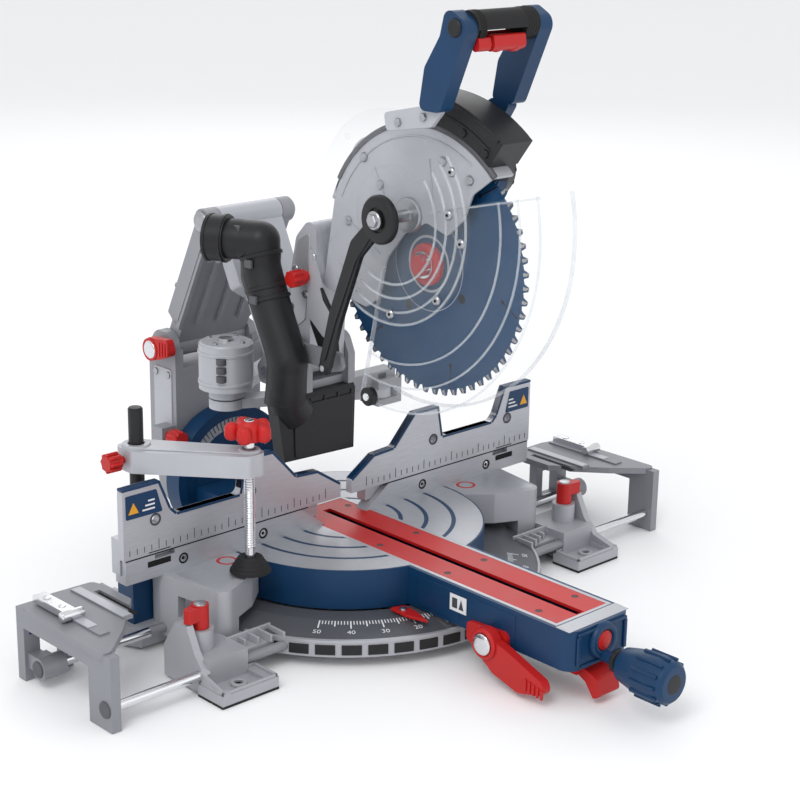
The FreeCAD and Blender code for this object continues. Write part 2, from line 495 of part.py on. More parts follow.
def link(name, half_foot, half_head, waist):
    """A plate link drawn along +Y from its foot pivot to its head pivot, widening above its waist."""
    length = S.link_len
    web = plate(f"{name}_web", "xy", [(-half_foot, 0), (-half_foot, waist, 8), (-half_head, waist + 16, 8),
                                      (-half_head, length), (half_head, length), (half_head, waist + 16, 8),
                                      (half_foot, waist, 8), (half_foot, 0)], ("-arm_thick / 2", "arm_thick / 2"))
    foot = rod(f"{name}_foot", "x", (0, 0), (-half_foot, half_foot), "knuckle_r - 4")
    head = rod(f"{name}_head", "x", ("link_len", 0), (-half_head, half_head), "knuckle_r - 4")
    return web, foot, head


web, foot, head = link("rear_arm", 56, 68, 34)
knee_room = box("rear_arm_fork", (-49, 49), ("link_len - 58", "link_len + 30"), (-30, 30))
ribs = [box(f"rear_arm_rib_{i}", (x - 3, x + 3), (40, 160), ("arm_thick / 2 - 1", "arm_thick / 2 + 5"))
        for i, x in enumerate((-64, -34, 0, 34, 64))]
rear_arm = cut("rear_arm_cut", fuse("rear_arm_blank", web, foot, head, *ribs), knee_room,
               rod("rear_foot_bore", "x", (0, 0), (-80, 80), "pin_r + pin_gap"),
               rod("rear_head_bore", "x", ("link_len", 0), (-80, 80), "pin_r"))
node("rear_glide_arm", stand(rear_arm, S.top_pivot_y, S.top_pivot_z, 180 - S.fold_angle))

web, foot, head = link("front_arm", 27.5, 48, 95)
front_arm = cut("front_arm_cut", fuse("front_arm_blank", web, foot, head),
                rod("front_foot_bore", "x", (0, 0), (-80, 80), "pin_r + pin_gap"),
                rod("front_head_bore", "x", ("link_len", 0), (-80, 80), "pin_r + pin_gap"))
# drawn from the carriage pivot up to the knee
node("front_glide_arm", stand(front_arm, carriage_y, S.top_pivot_z, S.fold_angle))
node("knee_pin", rod("knee_rod", "x", (knee_y, knee_z), (-72, 72), "pin_r"))
node("column_pins", group("col_pins", rod("top_rod", "x", ("top_pivot_y", "top_pivot_z"), (-74, 74), "pin_r"),
                          rod("low_rod", "z", ("low_pin_x", low_col_y), (S.low_link + 2, S.low_link + 40), "pin_r")))


def low_link(name, pin_y, under):
    """A lower link's plate from its pin to the elbow."""
    side = 1 if pin_y > elbow_y else -1
    along = Vector(elbow_x - S.low_pin_x, elbow_y - pin_y, 0).normalize()
    across = Vector(-along.y, along.x, 0) * 14
    a, b = Vector(S.low_pin_x, pin_y, 0), Vector(elbow_x, elbow_y, 0)
    corners = [a + across, a - across, b - across, b + across]
    web = plate(f"{name}_web", "xy", [(c.x, c.y) for c in corners], (under, under + S.link_step - 2))
    eyes = [rod(f"{name}_eye_{i}", "z", (p.x, p.y), (under, under + S.link_step - 2), r)
            for i, (p, r) in enumerate(((a, 14), (b, 22)))]
    return fuse(f"{name}_blank", web, *eyes)


barrel = rod("elbow_barrel", "z", (elbow_x, elbow_y), ("low_link + 2 * link_step - 2", "barrel_top"), "barrel_r")
elbow_pin = rod("elbow_pin", "z", (elbow_x, elbow_y), ("low_link", "low_link + link_step"), "pin_r")
node("lower_rear_link", cut("lower_rear_cut", fuse("lower_rear", low_link("rear_low", low_col_y, S.low_link + S.link_step),
                                                   barrel, elbow_pin),
                            rod("rear_low_bore", "z", ("low_pin_x", low_col_y), (S.low_link, S.low_link + 40),
                                "pin_r + pin_gap")))
node("lower_front_link", cut("lower_front_cut", low_link("front_low", low_car_y, S.low_link),
                             rod("front_low_bore", "z", ("low_pin_x", low_car_y), (S.low_link - 2, S.low_link + 20),
                                 "pin_r + slide_gap"),
                             rod("elbow_bore", "z", (elbow_x, elbow_y), (S.low_link - 2, S.low_link + 20),
                                 "pin_r + pin_gap")))

# carriage: two cheeks that hold the front arm's foot and the chop pivot, and the lower link's lugs
cheek_outline = [(30, 247), (118, 247, 8), (124, 268, 12), (84, 314, 20), (42, 316, 16), (30, 290)]
cheeks = [plate(f"carriage_cheek_{i}", "yz", cheek_outline, (low, low + 11)) for i, low in enumerate((-40, 29))]
tie = box("carriage_tie", (-30, 30), (40, 80), (247, 262))
lug_arm = box("carriage_lug_arm", (29, 126), (48, 70), (S.low_link + S.link_step - 1, 250))
lug_top = box("carriage_lug_top", (86, 126), (36, 70), (S.low_link + S.link_step - 1, 241))
lug_side = box("carriage_lug_side", (118, 126), (36, 70), (S.low_link - 9, 241))
lug_low = box("carriage_lug_low", (86, 126), (36, 70), (S.low_link - 9, S.low_link - 1))
link_ear = plate("carriage_link_ear", "yz", [(48, 296), (44, 316), (-38, 318, 8), (-44, 298, 8), (-24, 292)],
                 (-45.5, -40))
carriage = cut("carriage_cut", fuse("carriage_blank", *cheeks, tie, lug_arm, lug_top, lug_side, lug_low, link_ear),
               rod("carriage_arm_bore", "x", (carriage_y, "top_pivot_z"), (-60, 60), "pin_r"),
               rod("carriage_chop_bore", "x", ("chop_y", "chop_z"), (-60, 60), "pin_r"),
               rod("carriage_low_bore", "z", ("low_pin_x", low_car_y), (S.low_link - 12, S.low_link + 30), "pin_r"))
node("carriage", carriage)
node("carriage_pins", group("car_pins", rod("carriage_arm_rod", "x", (carriage_y, "top_pivot_z"), (-42, 42), "pin_r"),
                            rod("chop_rod", "x", ("chop_y", "chop_z"), (-42, 42), "pin_r"),
                            rod("carriage_low_rod", "z", ("low_pin_x", low_car_y), (S.low_link - 10, S.low_link + 24),
                                "pin_r")))

# dust duct: collar, two bends and a chute that opens behind the blade
PORT_TURN = 30.0     # how far the port leans out to clear the linkage, in degrees
port_way = Vector(-math.sin(math.radians(PORT_TURN)), math.cos(math.radians(PORT_TURN)), 0)
bend = Vector(S.duct_x, S.duct_y, S.duct_z)
port_end = bend + port_way * 66
duct_path = [bend + port_way * 56, bend, Vector(S.duct_x, S.duct_y, 396), Vector(S.duct_x, 27, 300),
             Vector(S.duct_x, 36.5, 236)]


def along(name, start, end, radius):
    """A round run from one point to another."""
    tube = doc.addObject("Part::Cylinder", name)
    tube.Radius = radius
    tube.Height = (end - start).Length
    tube.Placement = Placement(start, Rotation(Vector(0, 0, 1), end - start))
    return tube


duct_parts = [along(f"duct_run_{i}", start, end, S.duct_r) for i, (start, end) in enumerate(zip(duct_path, duct_path[1:]))]
for i, corner in enumerate(duct_path[1:-1]):
    ball = doc.addObject("Part::Sphere", f"duct_bend_{i}")
    ball.Radius = S.duct_r
    ball.Placement = Placement(corner, Rotation())
    duct_parts.append(ball)
duct_parts.append(along("duct_collar", port_end - port_way * 26, port_end, S.duct_r + 4))
duct_floor = box("duct_floor", ("duct_x - duct_r - 8", "duct_x + duct_r + 8"), (0, 80), (200, 246))
elbow = cut("dust_elbow_cut", fuse("dust_elbow_blank", *duct_parts), duct_floor,
            along("duct_mouth", port_end - port_way * 50, port_end + port_way, 18.5))
chute = plate("chute_blank", "xz", [(-88, 246), (-76, 172), (36, 168), (38, 246)], (27, 46))
chute_mouth = plate("chute_mouth", "xz", [(-60, 236), (-58, 178), (30, 174), (31, 236)], (24, 43))
node("dust_duct", group("duct_set", elbow, cut("chute_cut", chute, chute_mouth)))

# ---- saw head -------------------------------------------------------------------------------------

def about_x(name, span, radius, y="blade_y", z="blade_z"):
    return rod(name, "x", (y, z), span, radius)


by, bz = S.blade_y, S.blade_z
gy, gz = S.guard_y, S.guard_z
neck_plate = plate("head_neck", "yz", [(38, 270, 14), (84, 284, 18), (86, 330, 20), (62, 440, 20), (26, 478, 12),
                                       (24, 400), (36, 330)], (-28, 28))
side_plate = plate("head_side", "yz", [(-190, 420, 24), (-120, 378, 30), (24, 392, 6), (40, 470, 30), (6, 560, 40),
                                       (-90, 584, 40), (-196, 520, 40)], ("head_in + 1", "head_in + 31"))
knuckle = rod("head_knuckle", "x", ("chop_y", "chop_z"), (-28, 28), 23)
motor_seat = rod("motor_seat", "x", ("motor_y", "motor_z"), ("head_in + 20", "head_in + 40"), "motor_r + 6")
node("head_casting", cut("head_cut", fuse("head_blank", neck_plate, side_plate, knuckle, motor_seat),
                         rod("chop_bore", "x", ("chop_y", "chop_z"), (-30, 30), "pin_r + pin_gap"),
                         about_x("arbor_bore", (10, 70), "11 + pin_gap"),
                         rod("lock_pin_bore", "x", ("lock_pin_y", "lock_pin_z"), (-30, -8), "6 + slide_gap")))
node("motor_housing", fuse("motor", rod("motor_body", "x", ("motor_y", "motor_z"), ("head_in + 40", "motor_end - 22"),
                                        "motor_r"),
                           rod("motor_band", "x", ("motor_y", "motor_z"), ("head_in + 40", "head_in + 58"),
                               "motor_r + 4")))
end_cap = rod("end_cap", "x", ("motor_y", "motor_z"), ("motor_end - 22", "motor_end"), "motor_r - 1", "motor_r - 9")
brushes = [rod(f"brush_{i}", "y", ("motor_end - 34", "motor_z"), span, 9)
           for i, span in enumerate((("motor_y - motor_r - 4", "motor_y - motor_r - 0.5"),
                                     ("motor_y + motor_r + 0.5", "motor_y + motor_r + 4")))]
node("motor_end_set", group("motor_end", end_cap, *brushes))
gear_cover = plate("gear_cover_blank", "yz", [(-178, 430, 22), (-118, 398, 24), (-10, 440, 30), (2, 520, 40),
                                              (-70, 568, 40), (-176, 500, 36)], ("head_in + 31", "head_in + 48"))
node("belt_cover", cut("belt_cover_cut", gear_cover,
                       rod("motor_clear", "x", ("motor_y", "motor_z"), ("head_in + 30", "head_in + 60"), "motor_r + 6.2"),
                       about_x("arbor_clear", (30, 70), 14)))

# upper guard: a thin silver shroud round the top of the blade
shroud_shape = plate("shroud_shape", "yz", [(-237, 563), (-219, 530), (-199, 495), (-182, 470, 10), (-150, 425, 16),
                                            (-96, 402, 16), (29, 383), (34, 480), (0, 640), (-240, 640)],
                     ("-shroud_left", "head_in"))
shroud = cut("shroud_cut", common("shroud_blank", about_x("shroud_disc", ("-shroud_left", "head_in"), "shroud_r + 1"),
                                  shroud_shape),
             about_x("shroud_room", ("-shroud_left + 3", "head_in + 1"), "shroud_r - 3.5"),
             about_x("shroud_hub_hole", ("-shroud_left - 1", 0), "hub_r - 4"))
node("upper_guard", shroud)
cover_shape = plate("cover_shape", "yz", [(by - 2, bz + 120), (by - 2, bz + 260), (by - 204, bz + 260),
                                          (by - 96, bz + 116)], (-16, 30))
cover = cut("cover_cut", common("cover_blank", about_x("cover_disc", (-16, 30), 196), cover_shape),
            about_x("cover_room", (-17, 31), "shroud_r + 1.4"))
node("top_cover", cover)
# the axle also carries the outer strut that holds up the handle's left leg
strut = plate("strut", "yz", [(-214, 621.8), (-186, 621.8), (-106, 496, 10), (-114, 480, 8), (-134, 488, 8)],
              (-57, -51))
node("guard_axle", fuse("axle", strut, rod("axle_rod", "x", ("guard_y", "guard_z"), (-68, "-shroud_left"), 7),
                        rod("axle_flange", "x", ("guard_y", "guard_z"), ("-shroud_left - 5", "-shroud_left"), 20),
                        rod("axle_head", "x", ("guard_y", "guard_z"), (-72, -67), 11)))
deflector = plate("deflector", "yz", [(30, 430), (36, 350), (4, 326, 10), (-28, 336, 10), (6, 372, 12)], (-34, -28))
node("neck_deflector", cut("deflector_cut", deflector,
                           rod("deflector_bore", "x", ("lock_pin_y", "lock_pin_z"), (-36, -26), "6 + slide_gap")))
node("head_lock_pin", fuse("head_pin", rod("head_pin_rod", "x", ("lock_pin_y", "lock_pin_z"), (-40, -12), 6),
                           rod("head_pin_knob", "x", ("lock_pin_y", "lock_pin_z"), (-60, -38), 9)))

# blade with sixty teeth, its flanges and bolt
teeth = 60
rim = []
for i in range(teeth):
    turn = 2 * math.pi * i / teeth
    step = 2 * math.pi / teeth
    for part, radius in ((0.0, S.blade_r), (0.30, S.blade_r - 1.0), (0.45, S.blade_r - 8.0), (0.8, S.blade_r - 7.0)):
        rim.append((by + radius * math.cos(turn + part * step), bz + radius * math.sin(turn + part * step)))
disc = plate("blade_blank", "yz", rim, ("-blade_thick / 2", "blade_thick / 2"), [(by, bz, 10.0)])
node("saw_blade", disc)
flanges = [cut(f"flange_{i}", about_x(f"flange_disc_{i}", span, 24), about_x(f"flange_hole_{i}", (-20, 20), 10))
           for i, span in enumerate(((-7, "-blade_thick / 2"), ("blade_thick / 2", 7)))]
node("arbor_set", group("arbor", fuse("spindle_all", about_x("spindle_nose", (-7, 9), 10),
                                      about_x("spindle_shaft", (9, 62), 11), about_x("arbor_bolt", (-19, -7), 12)),
                        *flanges))

# clear lower guard, its ring and its roller
guard_span = ("-guard_left", "-guard_left + guard_wall")
sector = [(gy + 420 * math.cos(math.radians(a)), gz + 420 * math.sin(math.radians(a))) for a in (165, 205, 245, 283)]
wedge = plate("guard_wedge", "yz", [(gy, gz)] + sector, ("-guard_left", 12))
drum = cut("guard_drum", about_x("guard_disc", ("-guard_left", 12), "guard_r", "guard_y", "guard_z"),
           about_x("guard_room", ("-guard_left + guard_wall", 13), "guard_r - guard_wall", "guard_y", "guard_z"))
hub_disc = about_x("guard_hub", guard_span, 60, "guard_y", "guard_z")
guard_bore = about_x("guard_bore", (-60, 0), "7 + pin_gap", "guard_y", "guard_z")
node("clear_guard", cut("guard_cut", fuse("guard_blank", common("guard_sector", drum, wedge), hub_disc), guard_bore))
ring = cut("ring_cut", about_x("ring_disc", ("-guard_left - 5", "-guard_left"), "ring_r", "guard_y", "guard_z"),
           about_x("ring_bore", (-60, 0), "7 + pin_gap", "guard_y", "guard_z"))
ring_screws = [rod(f"ring_screw_{i}", "x", (gy + 108 * math.cos(math.radians(a)), gz + 108 * math.sin(math.radians(a))),
                   ("-guard_left - 7", "-guard_left - 5"), 4) for i, a in enumerate((50, 122, 194, 266, 338))]
roller = rod("roller", "x", (-95, 280), ("-guard_left - 12", "-guard_left"), 9)
node("guard_ring", group("ring_set", ring, roller, *ring_screws))
link_plate = plate("guard_link_plate", "yz", [(-121, 506, 8), (-76, 462, 14), (-40, 372, 20), (-22, 306, 7),
                                              (-38, 298, 7), (-58, 362, 20), (-92, 446, 14), (-134, 490, 8)], (-64, -58))
node("guard_link", cut("guard_link_cut", fuse("guard_link_blank", link_plate,
                                              rod("link_eye", "x", ("guard_y", "guard_z"), (-64, -58), 15)),
                       rod("link_bore", "x", ("guard_y", "guard_z"), (-70, -50), "7 + pin_gap")))

# D handle across the top of the head
loop = []
for i, (low, high) in enumerate(((46, 66), (-66, -48))):
    loop.append(plate(f"handle_leg_{i}", "yz", [(-222, 734, 10), (-256, 716, 14), (-228, 650, 12), (-216, 622, 8),
                                                (-184, 622, 8), (-192, 668, 12), (-214, 702, 8)], (low, high)))
stay = plate("handle_stay", "yz", [(-214, 626, 6), (-184, 626, 6), (-112, 580, 8), (-118, 552, 6), (-152, 528, 8)],
             (46, 60))
node("handle_frame", group("handle_set", fuse("handle_blank", loop[0], stay), loop[1]))
trigger_room = box("trigger_room", (-47, 26), (-258, -220), (680, 709.5))
grip = cut("grip_cut", rod("grip", "x", ("grip_y", "grip_z"), (-48, 46), "grip_r"), trigger_room)
node("handle_grip", grip)
trigger_blade = plate("trigger_blade", "yz", [(-226, 703, 2), (-252, 704, 4), (-254, 690, 6), (-246, 685.5, 4),
                                              (-227, 697, 2)], (-24, 24))
node("switch_trigger", fuse("trigger", trigger_blade, rod("trigger_pin", "x", (-226, 702), (-25, 25), 3)))
node("guard_release", plate("release_paddle", "yz", [(-230, 702, 3), (-250, 702, 3), (-252, 690, 5),
                                                     (-245, 686.5, 3), (-230, 695.5, 2)], (-45, -27)))

# ---- check and write out --------------------------------------------------------------------------

doc.recompute()
for made in doc.Objects:
    if "Invalid" in made.State or "Error" in made.State:
        raise RuntimeError(f"{made.Name} did not build: {made.State}")
for made in nodes:
    if made.Shape.isNull() or not made.Shape.isValid() or not made.Shape.Solids:
        raise RuntimeError(f"{made.Label} has no valid solid")
os.makedirs("parts", exist_ok=True)
for made in nodes:
    made.Shape.exportStep(f"parts/{made.Label}.step")
print(len(nodes), "nodes written")
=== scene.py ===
import math
import bmesh
import bpy
from mathutils import Matrix, Vector


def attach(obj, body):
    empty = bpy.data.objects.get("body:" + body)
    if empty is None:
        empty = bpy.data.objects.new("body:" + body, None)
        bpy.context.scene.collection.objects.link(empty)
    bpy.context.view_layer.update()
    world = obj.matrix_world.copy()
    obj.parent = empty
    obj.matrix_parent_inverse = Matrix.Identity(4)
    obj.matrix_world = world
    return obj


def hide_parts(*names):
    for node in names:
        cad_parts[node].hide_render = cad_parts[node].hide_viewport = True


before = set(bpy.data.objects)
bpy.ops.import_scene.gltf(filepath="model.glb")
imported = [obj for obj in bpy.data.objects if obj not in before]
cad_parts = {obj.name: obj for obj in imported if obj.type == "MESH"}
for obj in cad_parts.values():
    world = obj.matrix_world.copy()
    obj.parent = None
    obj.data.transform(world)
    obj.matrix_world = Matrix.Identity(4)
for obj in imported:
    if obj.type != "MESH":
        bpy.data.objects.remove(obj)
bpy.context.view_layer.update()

print("frame loaded:", len(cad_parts), "nodes")
mm = 0.001


camera = {"place": (-1.3962, -1.5603, 0.8919), "yaw": 43.6, "pitch": 17.2, "roll": 0.95, "lens": 80.86}


def makeCamera():
    yaw, pitch, roll = (math.radians(camera[k]) for k in ("yaw", "pitch", "roll"))
    ahead = Vector((math.sin(yaw) * math.cos(pitch), math.cos(yaw) * math.cos(pitch), -math.sin(pitch)))
    right = Vector((math.cos(yaw), -math.sin(yaw), 0))
    up = Vector((math.sin(yaw) * math.sin(pitch), math.cos(yaw) * math.sin(pitch), math.cos(pitch)))
    rightRolled = right * math.cos(roll) + up * math.sin(roll)
    upRolled = up * math.cos(roll) - right * math.sin(roll)
    data = bpy.data.cameras.new("camera")
    data.lens = camera["lens"]
    data.sensor_width = 36
    data.clip_end = 50
    cam = bpy.data.objects.new("camera", data)
    turn = Matrix((rightRolled, upRolled, -ahead)).transposed().to_4x4()
    cam.matrix_world = Matrix.Translation(camera["place"]) @ turn
    bpy.context.collection.objects.link(cam)
    bpy.context.scene.camera = cam


studio = {
    "keyLight": {"place": (-2.6, -1.2, 3.2), "size": 1.8, "power": 52},
    "fillLight": {"place": (0.8, -3.4, 1.8), "size": 2.6, "power": 9},
    "backLight": {"place": (2.2, 2.4, 2.2), "size": 2.0, "power": 16},
    "sky": (0.98, 0.985, 1.0), "skyPower": 0.92, "floorSize": 80,
}


def makeStage():
    bpy.ops.mesh.primitive_plane_add(size=studio["floorSize"], location=(0, 0, -0.0005))
    floor = bpy.context.object
    floor.name = "floor"
    floor.data.materials.append(paint("floorPaper", (0.93, 0.932, 0.94), 0.8, grain=40, bump=0.0,
                                      vary=0.004))
    for name in ("keyLight", "fillLight", "backLight"):
        spec = studio[name]
        data = bpy.data.lights.new(name, "AREA")
        data.shape = "SQUARE"
        data.size = spec["size"]
        data.energy = spec["power"]
        light = bpy.data.objects.new(name, data)
        light.location = spec["place"]
        aim = Vector((0, 0, 0.3)) - Vector(spec["place"])
        light.rotation_euler = aim.to_track_quat("-Z", "Y").to_euler()
        bpy.context.collection.objects.link(light)
    world = bpy.data.worlds.new("studioSky")
    world.use_nodes = True
    back = world.node_tree.nodes["Background"]
    back.inputs["Color"].default_value = (*studio["sky"], 1)
    back.inputs["Strength"].default_value = studio["skyPower"]
    bpy.context.scene.world = world
    bpy.context.scene.view_settings.view_transform = "Standard"


def newMaterial(name):
    mat = bpy.data.materials.new(name)
    mat.use_nodes = True
    tree = mat.node_tree
    shader = tree.nodes["Principled BSDF"]
    return mat, tree, shader


def place(tree, scale=1.0, stretch=(1, 1, 1)):
    coord = tree.nodes.new("ShaderNodeTexCoord")
    mapping = tree.nodes.new("ShaderNodeMapping")
    mapping.inputs["Scale"].default_value = tuple(scale * s for s in stretch)
    tree.links.new(coord.outputs["Object"], mapping.inputs["Vector"])
    return mapping.outputs["Vector"]


def noise(tree, vector, scale, detail=4.0, rough=0.55):
    node = tree.nodes.new("ShaderNodeTexNoise")
    node.inputs["Scale"].default_value = scale
    node.inputs["Detail"].default_value = detail
    node.inputs["Roughness"].default_value = rough
    tree.links.new(vector, node.inputs["Vector"])
    return node.outputs["Fac"]


def spread(tree, value, low, high, fromLow=0.3, fromHigh=0.7):
    node = tree.nodes.new("ShaderNodeMapRange")
    node.inputs["From Min"].default_value = fromLow
    node.inputs["From Max"].default_value = fromHigh
    node.inputs["To Min"].default_value = low
    node.inputs["To Max"].default_value = high
    tree.links.new(value, node.inputs["Value"])
    return node.outputs["Result"]


def mixColours(tree, factor, first, second):
    node = tree.nodes.new("ShaderNodeMix")
    node.data_type = "RGBA"
    tree.links.new(factor, node.inputs["Factor"])
    for socket, value in (("A", first), ("B", second)):
        target = [s for s in node.inputs if s.name == socket and s.type == "RGBA"][0]
        if isinstance(value, tuple):
            target.default_value = (*value, 1)
        else:
            tree.links.new(value, target)
    return [s for s in node.outputs if s.type == "RGBA"][0]


def addBump(tree, shader, height, strength, distance=0.0004):
    node = tree.nodes.new("ShaderNodeBump")
    node.inputs["Strength"].default_value = strength
    node.inputs["Distance"].default_value = distance
    tree.links.new(height, node.inputs["Height"])
    tree.links.new(node.outputs["Normal"], shader.inputs["Normal"])


def shade(colour, amount):
    return tuple(max(0.0, min(1.0, c * amount)) for c in colour)


def paint(name, colour, rough, metal=0.0, grain=420, bump=0.12, coat=0.0, vary=0.07, stretch=(1, 1, 1),
          patch=9):
    mat, tree, shader = newMaterial(name)
    vector = place(tree, 1.0, stretch)
    fine = noise(tree, vector, grain, 3.0)
    slow = noise(tree, vector, patch, 5.0)
    mixed = mixColours(tree, spread(tree, slow, 0, 1), shade(colour, 1 - vary), shade(colour, 1 + vary))
    tree.links.new(mixed, shader.inputs["Base Color"])
    tree.links.new(spread(tree, slow, rough - 0.05, rough + 0.07), shader.inputs["Roughness"])
    shader.inputs["Metallic"].default_value = metal
    shader.inputs["Specular IOR Level"].default_value = 0.32
    shader.inputs["Coat Weight"].default_value = coat
    shader.inputs["Coat Roughness"].default_value = 0.12
    addBump(tree, shader, fine, bump)
    return mat


def brushed(name, colour, rough, stretch, metal=1.0, grain=60):
    mat, tree, shader = newMaterial(name)
    vector = place(tree, 1.0, stretch)
    lines = noise(tree, vector, grain, 6.0, 0.7)
    slow = noise(tree, place(tree, 1.0), 7, 4.0)
    mixed = mixColours(tree, spread(tree, lines, 0, 1), shade(colour, 0.88), shade(colour, 1.08))
    tree.links.new(mixed, shader.inputs["Base Color"])
    tree.links.new(spread(tree, slow, rough - 0.06, rough + 0.08), shader.inputs["Roughness"])
    shader.inputs["Metallic"].default_value = metal
    addBump(tree, shader, lines, 0.10, 0.0002)
    return mat


finish = {
    "lightGrey": paint("lightGrey", (0.44, 0.45, 0.485), 0.40, metal=0.2, coat=0.12),
    "tableGrey": paint("tableGrey", (0.40, 0.405, 0.435), 0.42, metal=0.25, bump=0.1),
    "plateGrey": paint("plateGrey", (0.25, 0.256, 0.28), 0.45, metal=0.25, bump=0.15),
    "castGrey": paint("castGrey", (0.30, 0.306, 0.33), 0.50, metal=0.25, bump=0.4, grain=520),
    "darkCast": paint("darkCast", (0.10, 0.102, 0.112), 0.55, metal=0.2, bump=0.5, grain=520),
    "blue": paint("blue", (0.002, 0.034, 0.098), 0.42, grain=700, bump=0.10, coat=0.05, vary=0.14),
    "bladeBlue": paint("bladeBlue", (0.002, 0.045, 0.125), 0.40, metal=0.2, grain=60, bump=0.0, vary=0.06),
    "red": paint("red", (0.47, 0.011, 0.010), 0.42, grain=500, bump=0.05, coat=0.05, vary=0.09),
    "black": paint("black", (0.013, 0.0135, 0.015), 0.42, grain=900, bump=0.22, vary=0.2),
    "rubber": paint("rubber", (0.012, 0.012, 0.013), 0.66, grain=1200, bump=0.45, vary=0.25),
    "machinedX": brushed("machinedX", (0.47, 0.48, 0.515), 0.36, (0.6, 12, 12), metal=0.55),
    "tableTop": brushed("tableTop", (0.44, 0.45, 0.48), 0.38, (12, 0.8, 12), metal=0.5),
    "steel": brushed("steel", (0.42, 0.43, 0.45), 0.30, (5, 5, 5)),
    "chrome": brushed("chrome", (0.72, 0.73, 0.75), 0.12, (0.5, 9, 9)),
    "silverPaint": paint("silverPaint", (0.44, 0.45, 0.48), 0.34, metal=0.5, bump=0.08, coat=0.15),
    "scaleGrey": paint("scaleGrey", (0.115, 0.12, 0.135), 0.40, metal=0.35, bump=0.06),
    # holeShade: near-black painted shade for the dark inside holes, slots, vents and gaps
    "holeShade": paint("holeShade", (0.006, 0.006, 0.007), 0.8, bump=0.05),
    "carbide": paint("carbide", (0.42, 0.41, 0.39), 0.28, metal=0.9, grain=900, bump=0.3),
    "mark": paint("mark", (0.05, 0.055, 0.065), 0.5, bump=0.02),
    "white": paint("white", (0.72, 0.73, 0.75), 0.45, bump=0.02),
    "amber": paint("amber", (0.70, 0.33, 0.02), 0.4, bump=0.02),
}


def clearPlastic(name, tint, rough, alpha):
    mat, tree, shader = newMaterial(name)
    haze = noise(tree, place(tree), 14, 6.0, 0.65)
    tree.links.new(spread(tree, haze, alpha * 0.75, alpha * 1.35), shader.inputs["Alpha"])
    tree.links.new(spread(tree, haze, rough, rough + 0.15), shader.inputs["Roughness"])
    tree.links.new(mixColours(tree, haze, tint, shade(tint, 0.9)), shader.inputs["Base Color"])
    shader.inputs["IOR"].default_value = 1.5
    return mat


finish["clear"] = clearPlastic("clear", (0.50, 0.54, 0.57), 0.05, 0.05)
# lighter, more opaque copy of the clear plastic: painted highlight for the guard's edges and steps
finish["clearEdgeHighlight"] = clearPlastic("clearEdgeHighlight", (0.70, 0.75, 0.79), 0.10, 0.26)

makeCamera()
makeStage()
print("camera, light and materials ready")

def setMaterial(nodeName, *names):
    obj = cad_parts[nodeName]
    obj.data.materials.clear()
    for name in names:
        obj.data.materials.append(finish[name])
    return obj


def soften(nodeName, width=0.8):
    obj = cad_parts[nodeName]
    bevel = obj.modifiers.new("softEdge", "BEVEL")
    bevel.width = width * mm
    bevel.segments = 2
    bevel.limit_method = "ANGLE"
    bevel.angle_limit = math.radians(38)
    bevel.use_clamp_overlap = True


carried = {
    "lightGrey": ["upper_guard", "clamp_arm", "front_glide_arm", "lower_rear_link", "lower_front_link",
                  "guard_axle", "neck_deflector", "head_casting"],
    "tableGrey": ["base_casting"],
    "plateGrey": ["extension_table_left", "extension_table_right"],
    "castGrey": ["tilt_column", "rear_glide_arm", "carriage"],
    "blue": ["turntable", "bevel_trunnion", "fence_blocks", "handle_frame", "mitre_knob", "motor_housing"],
    "red": ["kerf_insert", "mitre_pointer", "mitre_lock_lever", "detent_button", "detent_trigger",
            "bevel_stop_pin", "glide_lock_lever", "switch_trigger", "guard_release", "extension_lock_left",
            "extension_lock_right", "clamp_lock_knob", "bevel_lock_lever", "head_lock_pin", "arm_brackets",
            "arbor_set"],
    "black": ["top_cover", "dust_duct", "clamp_post", "guard_link", "motor_end_set", "belt_cover"],
    "rubber": ["rubber_feet", "clamp_foot", "handle_grip"],
    "machinedX": ["fixed_fence", "sliding_fence_left", "sliding_fence_right"],
    "scaleGrey": ["mitre_scale"],
    "bladeBlue": ["saw_blade"],
    "mark": ["insert_screws"],
    "chrome": ["fence_bolts", "column_pins", "knee_pin", "carriage_pins", "length_stop_left",
               "length_stop_right", "clamp_screw"],
    "clear": ["clear_guard", "guard_ring"],
}
for look, nodeNames in carried.items():
    for nodeName in nodeNames:
        setMaterial(nodeName, look)
unsoftened = ("saw_blade", "clear_guard", "guard_ring", "insert_screws", "fence_bolts", "mitre_scale")
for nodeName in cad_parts:
    if nodeName not in unsoftened:
        soften(nodeName, 0.7)
print("frame nodes finished")


# a point from its place along an axis and the two places across it, in millimetres
def spot(axis, along, u, v):
    if axis == "x":
        return Vector((along, u, v)) * mm
    if axis == "y":
        return Vector((u, along, v)) * mm
    return Vector((u, v, along)) * mm


# an outline pushed along an axis; a corner may carry a radius
def rounded(outline, steps=5):
    points = []
    count = len(outline)
    for i, corner in enumerate(outline):
        here = Vector(corner[:2])
        radius = corner[2] if len(corner) > 2 else 0
        if not radius:
            points.append(here)
            continue
        back = Vector(outline[i - 1][:2]) - here
        ahead = Vector(outline[(i + 1) % count][:2]) - here
        half = back.angle(ahead) / 2
        reach = min(radius / math.tan(half), back.length * 0.49, ahead.length * 0.49)
        a, b = here + back.normalized() * reach, here + ahead.normalized() * reach
        for k in range(steps + 1):
            t = k / steps
            points.append(a * (1 - t) ** 2 + here * 2 * t * (1 - t) + b * t ** 2)
    return points


def prism(bm, axis, outline, low, high):
    points = rounded(outline)
    rings = [[bm.verts.new(spot(axis, along, p.x, p.y)) for p in points] for along in (low, high)]
    bm.faces.new(rings[0])
    bm.faces.new(list(reversed(rings[1])))
    for i in range(len(points)):
        j = (i + 1) % len(points)
        bm.faces.new((rings[0][i], rings[0][j], rings[1][j], rings[1][i]))


def block(bm, x, y, z):
    prism(bm, "z", [(x[0], y[0]), (x[1], y[0]), (x[1], y[1]), (x[0], y[1])], z[0], z[1])


